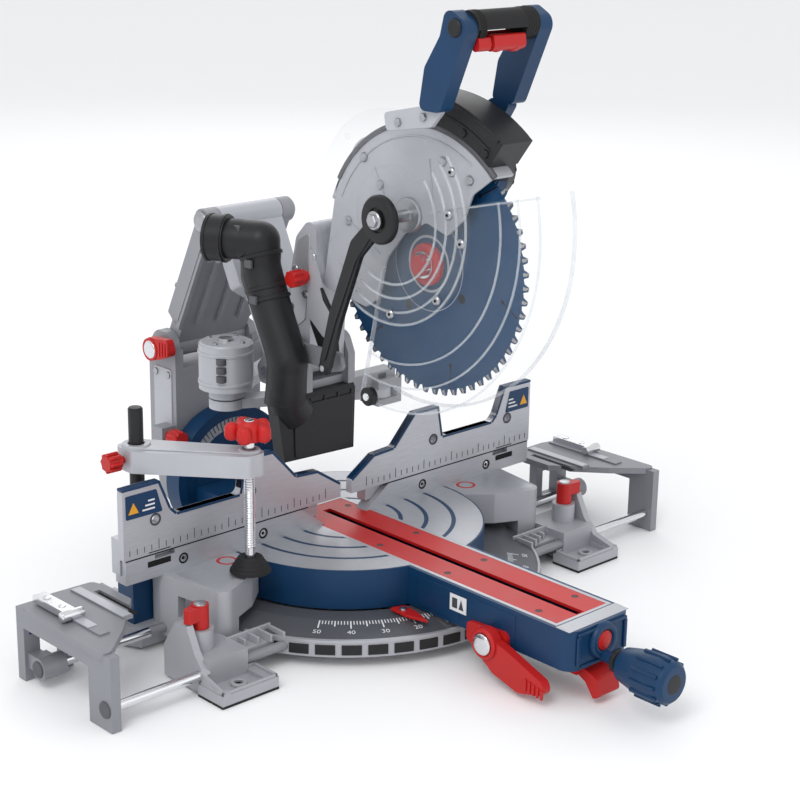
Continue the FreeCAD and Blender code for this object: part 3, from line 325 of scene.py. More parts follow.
# a turned shape: the profile is (place along the axis, radius) points, closed when it is a ring
def turned(bm, axis, centre, profile, steps=40, ring=False, sweep=(0, 360)):
    whole = abs(sweep[1] - sweep[0]) >= 360
    count = steps if whole else steps + 1
    rows = []
    for k in range(count):
        a = math.radians(sweep[0] + (sweep[1] - sweep[0]) * k / steps)
        rows.append([bm.verts.new(spot(axis, along, centre[0] + r * math.cos(a),
                                       centre[1] + r * math.sin(a)))
                     for along, r in profile])
    pairs = len(profile) if ring else len(profile) - 1
    for k in range(count if whole else count - 1):
        one, two = rows[k], rows[(k + 1) % count]
        for i in range(pairs):
            j = (i + 1) % len(profile)
            bm.faces.new((one[i], one[j], two[j], two[i]))
    if not ring:
        for end in (0, -1):
            if profile[end][1] > 0.01:
                bm.faces.new([row[end] for row in rows])
    elif not whole:
        bm.faces.new(rows[0])
        bm.faces.new(list(reversed(rows[-1])))


# a round hose or rod run through points
def hose(bm, points, radius, sides=20, squash=1.0):
    path = [Vector(p) for p in points]
    rows = []
    side = None
    for i, p in enumerate(path):
        ahead = (path[min(i + 1, len(path) - 1)] - path[max(i - 1, 0)]).normalized()
        if side is None:
            side = ahead.orthogonal().normalized()
        side = (side - ahead * side.dot(ahead)).normalized()
        other = ahead.cross(side)
        r = radius[i] if isinstance(radius, (list, tuple)) else radius
        rows.append([bm.verts.new((p + side * math.cos(a) * r + other * math.sin(a) * r * squash) * mm)
                     for a in (2 * math.pi * k / sides for k in range(sides))])
    for one, two in zip(rows, rows[1:]):
        for k in range(sides):
            j = (k + 1) % sides
            bm.faces.new((one[k], one[j], two[j], two[k]))
    bm.faces.new(rows[0])
    bm.faces.new(list(reversed(rows[-1])))


def bendy(points, steps=8):
    path = [Vector(p) for p in points]
    smooth = []
    for i in range(len(path) - 1):
        before, a, b, after = path[max(i - 1, 0)], path[i], path[i + 1], path[min(i + 2, len(path) - 1)]
        for k in range(steps):
            t = k / steps
            smooth.append(0.5 * (2 * a + (b - before) * t + (2 * before - 5 * a + 4 * b - after) * t ** 2
                                 + (3 * a - before - 3 * b + after) * t ** 3))
    return smooth + [path[-1]]


def piece(name, bm, look, body, edge=0.0, standsFor=None):
    bmesh.ops.recalc_face_normals(bm, faces=bm.faces)
    mesh = bpy.data.meshes.new(name)
    bm.to_mesh(mesh)
    bm.free()
    for face in mesh.polygons:
        face.use_smooth = True
    mesh.set_sharp_from_angle(angle=math.radians(35))
    mesh.materials.append(finish[look])
    obj = bpy.data.objects.new(name, mesh)
    bpy.context.collection.objects.link(obj)
    if edge:
        bevel = obj.modifiers.new("softEdge", "BEVEL")
        bevel.width = edge * mm
        bevel.segments = 2
        bevel.limit_method = "ANGLE"
        bevel.angle_limit = math.radians(35)
        bevel.use_clamp_overlap = True
    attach(obj, body)
    if standsFor:
        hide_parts(standsFor)
    return obj


def polar(centre, radius, angle):
    a = math.radians(angle)
    return centre[0] + radius * math.cos(a), centre[1] + radius * math.sin(a)


# blade: carbide tips, expansion slots and arbor bolt
blade = {"centre": (-139.1, 437.6), "radius": 152.5, "teeth": 60, "tipHalf": 1.5, "slots": 6, "holes": 4}


def makeBlade():
    centre, step = blade["centre"], 360 / blade["teeth"]
    bm = bmesh.new()
    for i in range(blade["teeth"]):
        turn = i * step
        prism(bm, "x", [polar(centre, blade["radius"] + 0.1, turn),
                        polar(centre, blade["radius"] - 0.8, turn + 0.2 * step),
                        polar(centre, blade["radius"] - 6.6, turn + 0.24 * step),
                        polar(centre, blade["radius"] - 6.4, turn - 0.02 * step)], -blade["tipHalf"],
                        blade["tipHalf"])
    piece("carbideTips", bm, "carbide", "blade")
    # dark sheets on both blade faces: painted shade where the expansion slots and holes open through the
    # blade
    bm = bmesh.new()
    for i in range(blade["slots"]):
        turn = 360 * i / blade["slots"] + 11
        for x in (-1.22, 1.14):
            turned(bm, "x", polar(centre, 118, turn), [(x, 2.6), (x + 0.08, 2.6)], 14)
            prism(bm, "x", [polar(centre, 119, turn - 0.4), polar(centre, 145, turn + 3.6),
                            polar(centre, 145, turn + 4.3),
                            polar(centre, 119, turn + 0.4)], x, x + 0.08)
    for i in range(blade["holes"]):
        turned(bm, "x", polar(centre, 62, 90 * i + 30), [(-1.24, 5.5), (-1.16, 5.5)], 20)
    piece("bladeSlotShade", bm, "holeShade", "blade")
    bm = bmesh.new()
    turned(bm, "x", centre, [(-7.3, 21), (-7.0, 24.3), (-1.3, 24.3), (-1.3, 12)], 48)
    turned(bm, "x", centre, [(-9.0, 13), (-9.0, 17), (-7.2, 18.5), (-7.0, 13)], 40)
    piece("arborFlange", bm, "red", "blade", 0.4)
    bm = bmesh.new()
    prism(bm, "x", [polar(centre, 12.6, 60 * k + 15) for k in range(6)], -18.6, -12)
    turned(bm, "x", centre, [(-12.2, 9), (-12.2, 15.5), (-9, 15.5), (-9, 9)], 40)
    turned(bm, "x", centre, [(-18.9, 4.5), (-18.4, 5.5), (-17.8, 5.5)], 24)
    piece("arborBolt", bm, "chrome", "blade", 0.6)
    bm = bmesh.new()
    turned(bm, "x", centre, [(-1.32, 30), (-1.32, 33), (-1.22, 33), (-1.22, 30)], 60, ring=True)
    turned(bm, "x", centre, [(-1.32, 54), (-1.32, 54.8), (-1.22, 54.8), (-1.22, 54)], 60, ring=True)
    piece("bladeRings", bm, "silverPaint", "blade")


# clear guard: moulded steps, rim, screws, roller and the black link boss
guard = {"centre": (-121, 493), "left": -42, "ringLeft": -47, "steps": (122, 108, 92, 76),
         "sweep": (138, 300), "rollerAt": (-95, 280),
         "screws": ((146, 117), (169, 96), (185, 115), (225, 112), (267, 109))}


def makeGuard():
    centre = guard["centre"]
    # steps and rim below use the lighter clear finish: painted highlight along their edges
    bm = bmesh.new()
    for r in guard["steps"]:
        turned(bm, "x", centre, [(guard["ringLeft"] - 1.6, r - 2.6), (guard["ringLeft"] - 1.6, r - 0.2),
                                 (guard["ringLeft"] - 0.1, r), (guard["ringLeft"] - 0.1, r - 3)], 72,
                                 ring=True,
               sweep=guard["sweep"])
    piece("guardSteps", bm, "clearEdgeHighlight", "guard")
    bm = bmesh.new()
    for r in (224.5, 196, 168):
        turned(bm, "x", centre, [(guard["left"] - 1.2, r - 2.4), (guard["left"] - 1.2, r),
                                 (guard["left"] + 0.2, r),
                                 (guard["left"] + 0.2, r - 2.4)], 60, ring=True, sweep=(165.5, 282.5))
    turned(bm, "x", centre, [(8.5, 222.8), (12, 222.8), (12, 226), (8.5, 226)], 60, ring=True,
           sweep=(165.5, 282.5))
    for angle in (166, 282.4):
        prism(bm, "x", [polar(centre, 62, angle - 0.9), polar(centre, 224, angle - 0.3),
                        polar(centre, 224, angle + 0.3), polar(centre, 62, angle + 0.9)], -43.4, -38.4)
    piece("guardRim", bm, "clearEdgeHighlight", "guard")
    bm = bmesh.new()
    for angle, radius in guard["screws"]:
        at = polar(centre, radius, angle)
        turned(bm, "x", at, [(-50.6, 2.2), (-50.9, 4.2), (-49.4, 5.6), (-47.4, 5.8)], 24)
    piece("guardScrews", bm, "steel", "guard", 0.3)
    # dark discs on the screw heads: painted shade in the screw sockets
    bm = bmesh.new()
    for angle, radius in guard["screws"]:
        at = polar(centre, radius, angle)
        turned(bm, "x", at, [(-51.1, 0.01), (-51.1, 1.9), (-50.4, 1.9)], 6)
    piece("guardScrewSocketShade", bm, "holeShade", "guard")
    bm = bmesh.new()
    turned(bm, "x", guard["rollerAt"], [(-54.6, 5.5), (-55, 8.5), (-54, 11), (-46.5, 11), (-45.5, 9.5),
                                        (-45.5, 5.5)], 36)
    piece("guardRoller", bm, "black", "guard", 0.4)
    bm = bmesh.new()
    turned(bm, "x", guard["rollerAt"], [(-56.4, 3.2), (-56.2, 4.6), (-54.4, 5.2), (-42, 5.2)], 28)
    piece("rollerPin", bm, "chrome", "guard", 0.3)
    bm = bmesh.new()
    turned(bm, "x", centre, [(-66.4, 14), (-66.4, 21), (-65.4, 26), (-62.5, 28), (-58.2, 28), (-57.6, 26),
                             (-57.6, 14)], 56,
           ring=True)
    turned(bm, "x", (-30, 302), [(-66.4, 3), (-66, 6), (-64, 8.5), (-58, 8.5)], 32)
    prism(bm, "x", [(-112, 474), (-86, 440), (-52, 362), (-34, 312), (-30, 314), (-47, 366), (-80, 444),
                    (-106, 480)],
          -65.4, -63.8)
    piece("guardLinkBoss", bm, "black", "guard_link", 0.6)
    bm = bmesh.new()
    turned(bm, "x", (-30, 302), [(-67.6, 2.4), (-67.2, 3.8), (-66, 4)], 24)
    piece("guardLinkRivet", bm, "steel", "guard_link", 0.3)


# upper guard, its rolled rim, the black cover on top, brackets and the neck flap
def makeHead():
    centre = blade["centre"]
    bm = bmesh.new()
    turned(bm, "x", centre, [(-16.6, 157), (-17.2, 160.5), (-15.4, 163), (-12, 163), (-12, 161),
                             (-15, 157)], 90,
           ring=True, sweep=(30, 134))
    piece("shroudRim", bm, "darkCast", "head")
    # side plate of the shroud, cut away round the arbor, and the rim that wraps over the blade
    bm = bmesh.new()
    arc = [polar(centre, 160, 26 + 108 * k / 30) for k in range(31)]
    prism(bm, "x", [(27, 383, 8)] + arc + [(-219, 530), (-206, 500, 8), (-181, 478, 8), (-147, 488, 12),
                                           (-112, 469, 16), (-84, 436, 16), (-70, 386, 10), (-50, 372, 10)],
                                           -15, -12)
    turned(bm, "x", centre, [(-15, 157), (-15, 160.6), (15, 160.6), (15, 157)], 64, ring=True,
           sweep=(20, 134))
    piece("shroudShell", bm, "lightGrey", "head", 0.5, "upper_guard")
    bm = bmesh.new()
    turned(bm, "x", centre, [(-16.2, 145.2), (-16.2, 146.6), (-14.9, 147), (-14.9, 144.8)], 60, ring=True,
           sweep=(24, 122))
    for a, b in (((-60, 540), (-96, 478)), ((-20, 470), (-72, 440)), ((-150, 560), (-160, 505)),
                 ((0, 420), (-40, 392))):
        run = Vector((b[0] - a[0], b[1] - a[1]))
        off = Vector((-run.y, run.x)).normalized() * 1.1
        prism(bm, "x", [(a[0] + off.x, a[1] + off.y), (b[0] + off.x, b[1] + off.y),
                        (b[0] - off.x, b[1] - off.y),
                        (a[0] - off.x, a[1] - off.y)], -16.2, -14.9)
    piece("shroudRibs", bm, "silverPaint", "head", 0.3)
    bm = bmesh.new()
    turned(bm, "x", guard["centre"], [(-72, 5), (-72, 9.6), (-70.6, 11), (-67, 11), (-67, 7), (-20.4, 7),
                                      (-20, 19),
                                      (-18, 20.4), (-14.6, 20.4)], 44)
    piece("guardAxle", bm, "steel", "head", 0.4, "guard_axle")
    bm = bmesh.new()
    for at in ((-172, 560), (-214, 545), (-72, 520), (-18, 470), (-44, 548)):
        turned(bm, "x", at, [(-18.4, 2.6), (-18.6, 4.4), (-17, 5.6), (-14.9, 5.8)], 24)
    piece("shroudScrews", bm, "steel", "head", 0.3)
    bm = bmesh.new()
    turned(bm, "x", centre, [(-17.2, 176), (-17.2, 178), (-15.8, 178), (-15.8, 176)], 60, ring=True,
           sweep=(92, 126))
    turned(bm, "x", centre, [(-17.6, 192), (-17.6, 196), (-15.8, 196.2), (-15.8, 191)], 60, ring=True,
           sweep=(91, 127))
    for angle in (97, 112, 125):
        turned(bm, "x", polar(centre, 170, angle), [(-18.2, 2.8), (-18, 4.6), (-15.8, 5.2)], 24)
    piece("coverTrim", bm, "black", "head", 0.4)
    bm = bmesh.new()
    prism(bm, "x", [(-214, 624, 3), (-184, 626, 3), (-122, 612, 6), (-126, 592, 6), (-196, 604, 4)], -58.4,
          -52.4)
    piece("legBracket", bm, "lightGrey", "head", 1.0)
    bm = bmesh.new()
    for at in ((-185, 614), (-146, 604)):
        turned(bm, "x", at, [(-61.6, 2.6), (-61.8, 4.2), (-60.4, 5), (-58.2, 5)], 6)
    turned(bm, "x", guard["centre"], [(-75.4, 3), (-75.6, 6.5), (-74.4, 8), (-71.6, 8)], 6)
    piece("strutBolts", bm, "steel", "head", 0.3)
    # flap that keeps dust off the duct, low at the back of the blade
    bm = bmesh.new()
    prism(bm, "x", [(22, 400, 8), (30, 340, 8), (8, 300, 12), (-20, 300, 8), (-14, 352, 12)], -33.6, -28.4)
    piece("dustFlap", bm, "black", "head", 0.6)
    bm = bmesh.new()
    for at in ((30, 420), (62, 400), (70, 352), (44, 372)):
        turned(bm, "x", at, [(-30.6, 2.4), (-30.8, 4.4), (-29.6, 5.6), (-27.8, 5.8)], 24)
    turned(bm, "x", (60, 290), [(-47.4, 5), (-47.6, 9.5), (-46.4, 11.5), (-41.8, 12)], 32)
    piece("neckScrews", bm, "steel", "head", 0.3)
    bm = bmesh.new()
    prism(bm, "x", [(34, 452, 8), (58, 436, 8), (80, 334, 8), (64, 326, 6), (44, 340, 8)], -29.4, -27.8)
    piece("neckPanel", bm, "silverPaint", "head", 0.6)


# handle grip bands and motor vents
def makeHandle():
    bm = bmesh.new()
    hose(bm, bendy([(-24, -243, 695), (-14, -246, 692), (0, -242, 696), (12, -246, 691), (24, -244, 693)],
                   6),
         [5 + 2.6 * math.sin(math.pi * k / 24) for k in range(25)], 18, 1.1)
    piece("triggerLever", bm, "red", "switch_trigger")
    bm = bmesh.new()
    for k in range(9):
        x = -44 + k * 2.4 if k < 4 else 28 + (k - 4) * 4
        turned(bm, "x", (-236, 712), [(x, 16.6), (x + 0.4, 17.5), (x + 1.4, 17.5), (x + 1.8, 16.6)], 36)
    piece("gripBands", bm, "rubber", "head")
    bm = bmesh.new()
    turned(bm, "x", (-236, 712), [(-68.4, 4), (-68.6, 8), (-67.4, 9.6), (-65.8, 10)], 32)
    turned(bm, "x", (-236, 712), [(65.8, 10), (67.4, 9.6), (68.6, 8), (68.4, 4)], 32)
    piece("handleCaps", bm, "black", "head", 0.4)
    # dark slots on the motor end: painted shade inside the vent openings
    bm = bmesh.new()
    for k in range(14):
        at = polar((-62, 520), 38, k * 360 / 14)
        inner = polar((-62, 520), 14, k * 360 / 14)
        out = Vector((at[0] - inner[0], at[1] - inner[1])).normalized()
        side = Vector((-out.y, out.x)) * 2.2
        prism(bm, "x", [(inner[0] - side.x, inner[1] - side.y), (at[0] * 0.999 - side.x, at[1] - side.y),
                        (at[0] + side.x, at[1] + side.y), (inner[0] + side.x, inner[1] + side.y)], 181.2,
                        181.9)
    piece("motorVentShade", bm, "holeShade", "head")
    bm = bmesh.new()
    for k in range(24):
        a = 360 * k / 24
        at, nearAt = polar((-62, 520), 46.8, a), polar((-62, 520), 45.6, a)
        out = Vector((at[0] + 62, at[1] - 520)).normalized()
        side = Vector((-out.y, out.x)) * 1.6
        prism(bm, "x", [(nearAt[0] - side.x, nearAt[1] - side.y), (at[0] - side.x, at[1] - side.y),
                        (at[0] + side.x, at[1] + side.y), (nearAt[0] + side.x, nearAt[1] + side.y)], 84,
                        132)
    piece("motorFins", bm, "blue", "head", 0.4)
    bm = bmesh.new()
    for k in range(4):
        turned(bm, "x", polar((-62, 520), 30, 90 * k + 45), [(180.8, 4.6), (182, 4.2), (182, 0.01)], 20)
    for at in ((-160, 450), (-120, 424), (-30, 462), (-166, 490)):
        turned(bm, "x", at, [(62.6, 5), (64.6, 4.6), (65, 2.6)], 20)
    piece("motorScrews", bm, "steel", "head", 0.3)


# turntable top plates, grooves left between them, insert border, painted shadow in the kerf slot
tableTop = {"level": 89.9, "plate": 0.3, "bands": ((20, 65.5), (71, 97.5), (103, 131.5), (137, 170.5)),
            "side": 46.0}


def makeTable():
    low, high = tableTop["level"] - 0.1, tableTop["level"] + tableTop["plate"]
    bm = bmesh.new()
    for hand in (1, -1):
        for inner, outer in tableTop["bands"]:
            rows = []
            inner = max(inner, tableTop["side"] + 0.5)
            for r in (inner, outer):
                limit = math.degrees(math.acos(min(0.999, tableTop["side"] / r)))
                rows.append([(hand * r * math.cos(math.radians(a)), r * math.sin(math.radians(a)))
                             for a in (-limit + 2 * limit * k / 32 for k in range(33))])
            prism(bm, "z", rows[0] + rows[1][::-1], low, high)
    piece("tablePlates", bm, "tableTop", "turntable")
    bm = bmesh.new()
    for hand in (-1, 1):
        x = sorted((hand * 41.2, hand * 45.8))
        block(bm, x, (-392.4, 60.4), (low, high))
    block(bm, (-41, 41), (-392.4, -388.2), (low, high))
    block(bm, (-41, 41), (56.2, 60.4), (low, high))
    block(bm, (-49, 49), (-414, -394), (low, high))
    piece("insertBorder", bm, "tableTop", "turntable")
    # dark sheet across the kerf slot below the table top: painted shadow deep in the slot
    bm = bmesh.new()
    block(bm, (-18.6, 18.6), (-387, 51), (54.4, 55.4))
    piece("kerfShadow", bm, "holeShade", "turntable")
    bm = bmesh.new()
    for x in (-30, 30):
        for y in (30, -95, -210, -352):
            turned(bm, "z", (x, y), [(89.3, 3.8), (89.7, 3.6), (89.8, 2.6)], 24)
            block(bm, (x - 2.6, x + 2.6), (y - 0.5, y + 0.5), (89.75, 89.88))
    piece("insertScrewHeads", bm, "mark", "turntable")
    bm = bmesh.new()
    for hand in (-1, 1):
        for k in range(3):
            y = -130 - 86 * k
            block(bm, sorted((hand * 49.8, hand * 51.0)), (y - 34, y + 34), (48, 84))
    piece("armPanels", bm, "blue", "turntable", 0.8)


# front of the arm: raised nose round the button, knob ribs, lever details, generic symbols
def makeArmFront():
    bm = bmesh.new()
    turned(bm, "y", (0, 70), [(-424.5, 13.5), (-424.5, 19), (-421, 21), (-417.5, 21), (-417.5, 11.6),
                              (-422, 11.6)], 40,
           ring=True)
    for x, z in (((-40, 40), (83, 87)), ((-34, 34), (45.5, 48.5)), ((-41, -36), (49, 83)),
                 ((36, 41), (49, 83))):
        block(bm, x, (-420.4, -417.5), z)
    piece("armNose", bm, "blue", "turntable", 1.2)
    bm = bmesh.new()
    turned(bm, "y", (0, 70), [(-424.6, 3), (-424.2, 8.2), (-422.6, 10.4), (-418, 10.4)], 36)
    piece("buttonCap", bm, "red", "detent_button", 0.3)
    bm = bmesh.new()
    turned(bm, "y", (0, 52), [(-519.6, 10), (-519.2, 20), (-515, 24), (-500, 26), (-478, 25), (-462, 21.5),
                              (-452, 19), (-447.4, 13), (-446, 9)], 48)
    for k in range(12):
        at = [polar((0, 52), r, 30 * k) for r in (24.6, 27.6)]
        side = Vector((-(at[1][1] - 52), at[1][0])).normalized() * 2.4
        prism(bm, "y", [(at[0][0] - side.x, at[0][1] - side.y),
                        (at[1][0] - side.x * 0.7, at[1][1] - side.y * 0.7),
                        (at[1][0] + side.x * 0.7, at[1][1] + side.y * 0.7),
                        (at[0][0] + side.x, at[0][1] + side.y)],
              -512, -478)
    hose(bm, [(0, -447, 52), (0, -400, 52)], 7)
    piece("knobBarrel", bm, "blue", "mitre_knob", 0.6, "mitre_knob")
    bm = bmesh.new()
    turned(bm, "y", (0, 52), [(-520, 5), (-519.8, 11), (-518.8, 12)], 32)
    turned(bm, "y", (0, 52), [(-446.6, 10), (-444, 13), (-440, 13), (-438.6, 10)], 32)
    piece("knobCap", bm, "black", "mitre_knob", 0.4)
    bm = bmesh.new()
    turned(bm, "x", (-308, 47), [(-74.6, 4), (-75, 9.5), (-73.6, 12.5), (-70.6, 13)], 36)
    piece("leverBolt", bm, "chrome", "mitre_lock_lever", 0.4)
    bm = bmesh.new()
    turned(bm, "x", (-308, 47), [(-72, 13.4), (-72.6, 16), (-71, 18.2), (-58, 18.2), (-57.6, 13.4)], 40,
           ring=True)
    for k in range(5):
        y = -372 - 6 * k
        block(bm, (-70.6, -68.4), (y - 1.6, y + 1.6), (12.5 - k * 0.4, 27 - k * 1.2))
    piece("leverRibs", bm, "red", "mitre_lock_lever", 0.5)
    bm = bmesh.new()
    prism(bm, "x", [(-236, 80), (-262, 80), (-262, 60), (-236, 60)], -51.6, -50.8)
    piece("armDecal", bm, "white", "turntable")
    bm = bmesh.new()
    prism(bm, "x", [(-240, 76, 1), (-248, 76, 1), (-248, 64, 1), (-240, 64, 1)], -52, -51.4)
    prism(bm, "x", [(-258, 64), (-250.5, 64), (-254, 76)], -52, -51.4)
    piece("armDecalMarks", bm, "mark", "turntable")


# small red pointer with its screw, in place of the plain one
def makePointer():
    bm = bmesh.new()
    prism(bm, "z", [(-62, -172, 3), (-64, -196, 3), (-72, -222), (-80, -196, 3), (-80, -166, 3)], 43.2,
          46.6)
    piece("pointerBlade", bm, "red", "turntable", 0.5, "mitre_pointer")
    bm = bmesh.new()
    turned(bm, "z", (-71, -180), [(46.2, 4.8), (48.4, 4.4), (48.6, 2.4)], 24)
    block(bm, (-74, -68), (-180.6, -179.4), (48.4, 48.9))
    piece("pointerScrew", bm, "steel", "turntable", 0.3)


# mitre scale: marks, numbers, rim and the black strip below
scale = {"inner": 200.4, "outer": 243.0, "lowZ": 33.8, "highZ": 41.0, "span": (-50, 50)}


def onScale(radius, angle):
    t = (scale["outer"] - radius) / (scale["outer"] - scale["inner"])
    x, y = polar((0, 0), radius, angle - 90)
    return Vector((x, y, scale["lowZ"] + t * (scale["highZ"] - scale["lowZ"]) + 0.25)) * mm


def makeScale():
    bm = bmesh.new()
    for degree in range(scale["span"][0], scale["span"][1] + 1):
        reach = 15 if degree % 10 == 0 else 11 if degree % 5 == 0 else 7
        half = 0.16 if degree % 5 else 0.22
        corners = [onScale(r, degree + s * half) for r,
                   s in ((203, -1), (203, 1), (203 + reach, 1), (203 + reach, -1))]
        bm.faces.new([bm.verts.new(c) for c in corners])
    piece("scaleMarks", bm, "white", "base")
    for value in range(-50, 51, 10):
        text = bpy.data.curves.new(f"scaleText{value}", "FONT")
        text.body = str(abs(value))
        text.size = 10 * mm
        text.extrude = 0.08 * mm
        text.align_x = "CENTER"
        holder = bpy.data.objects.new(f"scaleText{value}", text)
        slope = math.atan2(scale["highZ"] - scale["lowZ"], scale["outer"] - scale["inner"])
        at = onScale(229, value)
        turn = Matrix.Rotation(math.radians(value), 4, "Z") @ Matrix.Rotation(slope, 4, "X")
        holder.matrix_world = Matrix.Translation(at + Vector((0, 0, 0.0002))) @ turn
        bpy.context.collection.objects.link(holder)
        bpy.context.view_layer.update()
        mesh = bpy.data.meshes.new_from_object(holder.evaluated_get(bpy.context.evaluated_depsgraph_get()))
        mesh.transform(holder.matrix_world)
        bpy.data.objects.remove(holder)
        mesh.materials.clear()
        mesh.materials.append(finish["white"])
        obj = bpy.data.objects.new(f"scaleNumber_{value + 50}", mesh)
        bpy.context.collection.objects.link(obj)
        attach(obj, "base")
    bm = bmesh.new()
    turned(bm, "z", (0, 0), [(31.4, 240.5), (31.4, 243.6), (34.6, 243.6), (35.2, 240.5)], 80, ring=True,
           sweep=(-160, -20))
    piece("scaleRim", bm, "silverPaint", "base")
    bm = bmesh.new()
    for k in range(18):
        turned(bm, "z", (0, 0), [(17, 242.6), (17, 244.2), (29, 244.2), (29, 242.6)], 4, ring=True,
               sweep=(-154 + k * 7.1, -154 + k * 7.1 + 5.4))
    piece("panSegments", bm, "black", "base", 0.4)


# fences: ruler marks, edges, holes, labels


def makeFence():
    for hand, tag, body in ((-1, "Left", "fence_left"), (1, "Right", "fence_right")):
        bm = bmesh.new()
        for k in range(30):
            x = hand * (34 + k * 10)
            tall = 12 if k % 5 == 0 else 7
            block(bm, (x - 0.35, x + 0.35), (-0.35, 0.1), (124, 124 + tall))
        piece(f"fenceMarks{tag}", bm, "mark", body)
        bm = bmesh.new()
        outline = [(9, 119.6), (9, 138.3), (46, 162.3), (80, 164.3), (116, 203), (159, 203), (167, 161.3),
                   (258, 161.3),
                   (266, 169.3), (281, 205), (332, 205)]
        for a, b in zip(outline[1:], outline[2:]):
            run = Vector((b[0] - a[0], b[1] - a[1]))
            off = Vector((-run.y, run.x)).normalized() * 3.2
            prism(bm, "y", [(hand * a[0], a[1]), (hand * b[0], b[1]), (hand * (b[0] - off.x), b[1] - off.y),
                            (hand * (a[0] - off.x), a[1] - off.y)], -0.5, 9.9)
        piece(f"fenceEdge{tag}", bm, "blue", body, 0.4)
        bm = bmesh.new()
        for x in (150, 288):
            turned(bm, "y", (hand * x, 160), [(-0.6, 5.4), (-0.6, 7.4), (0.4, 7.6), (0.4, 5.0)], 30,
                   ring=True)
        block(bm, sorted((hand * 268, hand * 298)), (-0.3, 0.2), (121, 122.4))
        piece(f"fenceRings{tag}", bm, "mark", body)
        bm = bmesh.new()
        label = (278, 328) if hand < 0 else (284, 328)
        prism(bm, "y", [(hand * label[0], 168, 2), (hand * label[1], 168, 2), (hand * label[1], 196, 2),
                        (hand * (label[0] + 8), 196, 2)], -0.9, 0.2)
        piece(f"fenceLabel{tag}", bm, "blue", body, 0.3)
        bm = bmesh.new()
        x = hand * 318
        prism(bm, "y", [(x - 7, 174), (x + 7, 174), (x, 187)], -1.2, -0.8)
        piece(f"fenceSign{tag}", bm, "amber", body)
        bm = bmesh.new()
        for k in range(3):
            block(bm, sorted((hand * 289, hand * (306 - 4 * k))), (-1.1, -0.8), (174 + 5 * k, 176 + 5 * k))
        piece(f"fenceLabelLines{tag}", bm, "white", body)
        # dark rings, discs and strips on the fixed fence: painted shade in its holes and the gaps along it
        bm = bmesh.new()
        for x in (132, 250):
            turned(bm, "y", (hand * x, 102.9), [(-0.3, 4.6), (-0.3, 6.6), (0.3, 6.8), (0.3, 4.6)], 28,
                   ring=True)
            turned(bm, "y", (hand * x, 102.9), [(0.5, 2.2), (0.9, 2.2)], 6)
        block(bm, sorted((hand * 62, hand * 330)), (-0.2, 0.4), (118.0, 119.3))
        block(bm, sorted((hand * 268, hand * 300)), (-0.3, 0.3), (104, 111))
        piece(f"fixedFenceHoleShade{tag}", bm, "holeShade", "base")


# wing decks: raised panels, ribbed trays, foot rims, red throat marks
def makeWings():
    for hand, tag in ((-1, "Left"), (1, "Right")):
        bm = bmesh.new()
        prism(bm, "z", [(hand * 178, -8, 4), (hand * 214, -56, 4), (hand * 262, -80, 6), (hand * 270, 0, 6),
                        (hand * 200, 0, 4)][::hand], 89.6, 90.0)
        piece(f"deckPanel{tag}", bm, "machinedX", "base", 0.4)
        bm = bmesh.new()
        turned(bm, "z", (hand * 198, -14), [(89.8, 9), (89.8, 13), (90.06, 12.8), (90.06, 9.2)], 36,
               ring=True)
        piece(f"deckSpot{tag}", bm, "red", "base", 0.3)
        bm = bmesh.new()
        for k in range(5):
            x = hand * (206 + 14 * k)
            block(bm, (x - 1.6, x + 1.6), (-128 + 6 * k, -96), (30, 40.6 - k))
        block(bm, sorted((hand * 202, hand * 268)), (-99, -96), (30, 41))
        piece(f"trayRibs{tag}", bm, "tableGrey", "base", 0.6)
        for end, place in ((-1, "Front"), (1, "Rear")):
            cx, cy = hand * 288, end * 148
            bm = bmesh.new()
            outer = [(cx - 38, cy - 21), (cx + 38, cy - 21), (cx + 38, cy + 21), (cx - 38, cy + 21)]
            for a, b in zip(outer, outer[1:] + outer[:1]):
                x = sorted((a[0], b[0]))
                y = sorted((a[1], b[1]))
                if x[0] == x[1]:
                    x = [x[0] - (3 if x[0] > cx else 0), x[0] + (0 if x[0] > cx else 3)]
                else:
                    y = [y[0] - (3 if y[0] > cy else 0), y[0] + (0 if y[0] > cy else 3)]
                block(bm, x, y, (14.6, 18.4))
            turned(bm, "z", (cx, cy), [(10, 5.2), (13.4, 5.2), (13.4, 9.4), (10, 9.8)], 30, ring=True)
            piece(f"footRim{place}{tag}", bm, "tableGrey", "base", 0.6)
            # dark disc in each foot: painted shade inside the foot hole
            bm = bmesh.new()
            turned(bm, "z", (cx, cy), [(10.2, 4.6), (10.4, 4.6)], 28)
            piece(f"footHoleShade{place}{tag}", bm, "holeShade", "base")


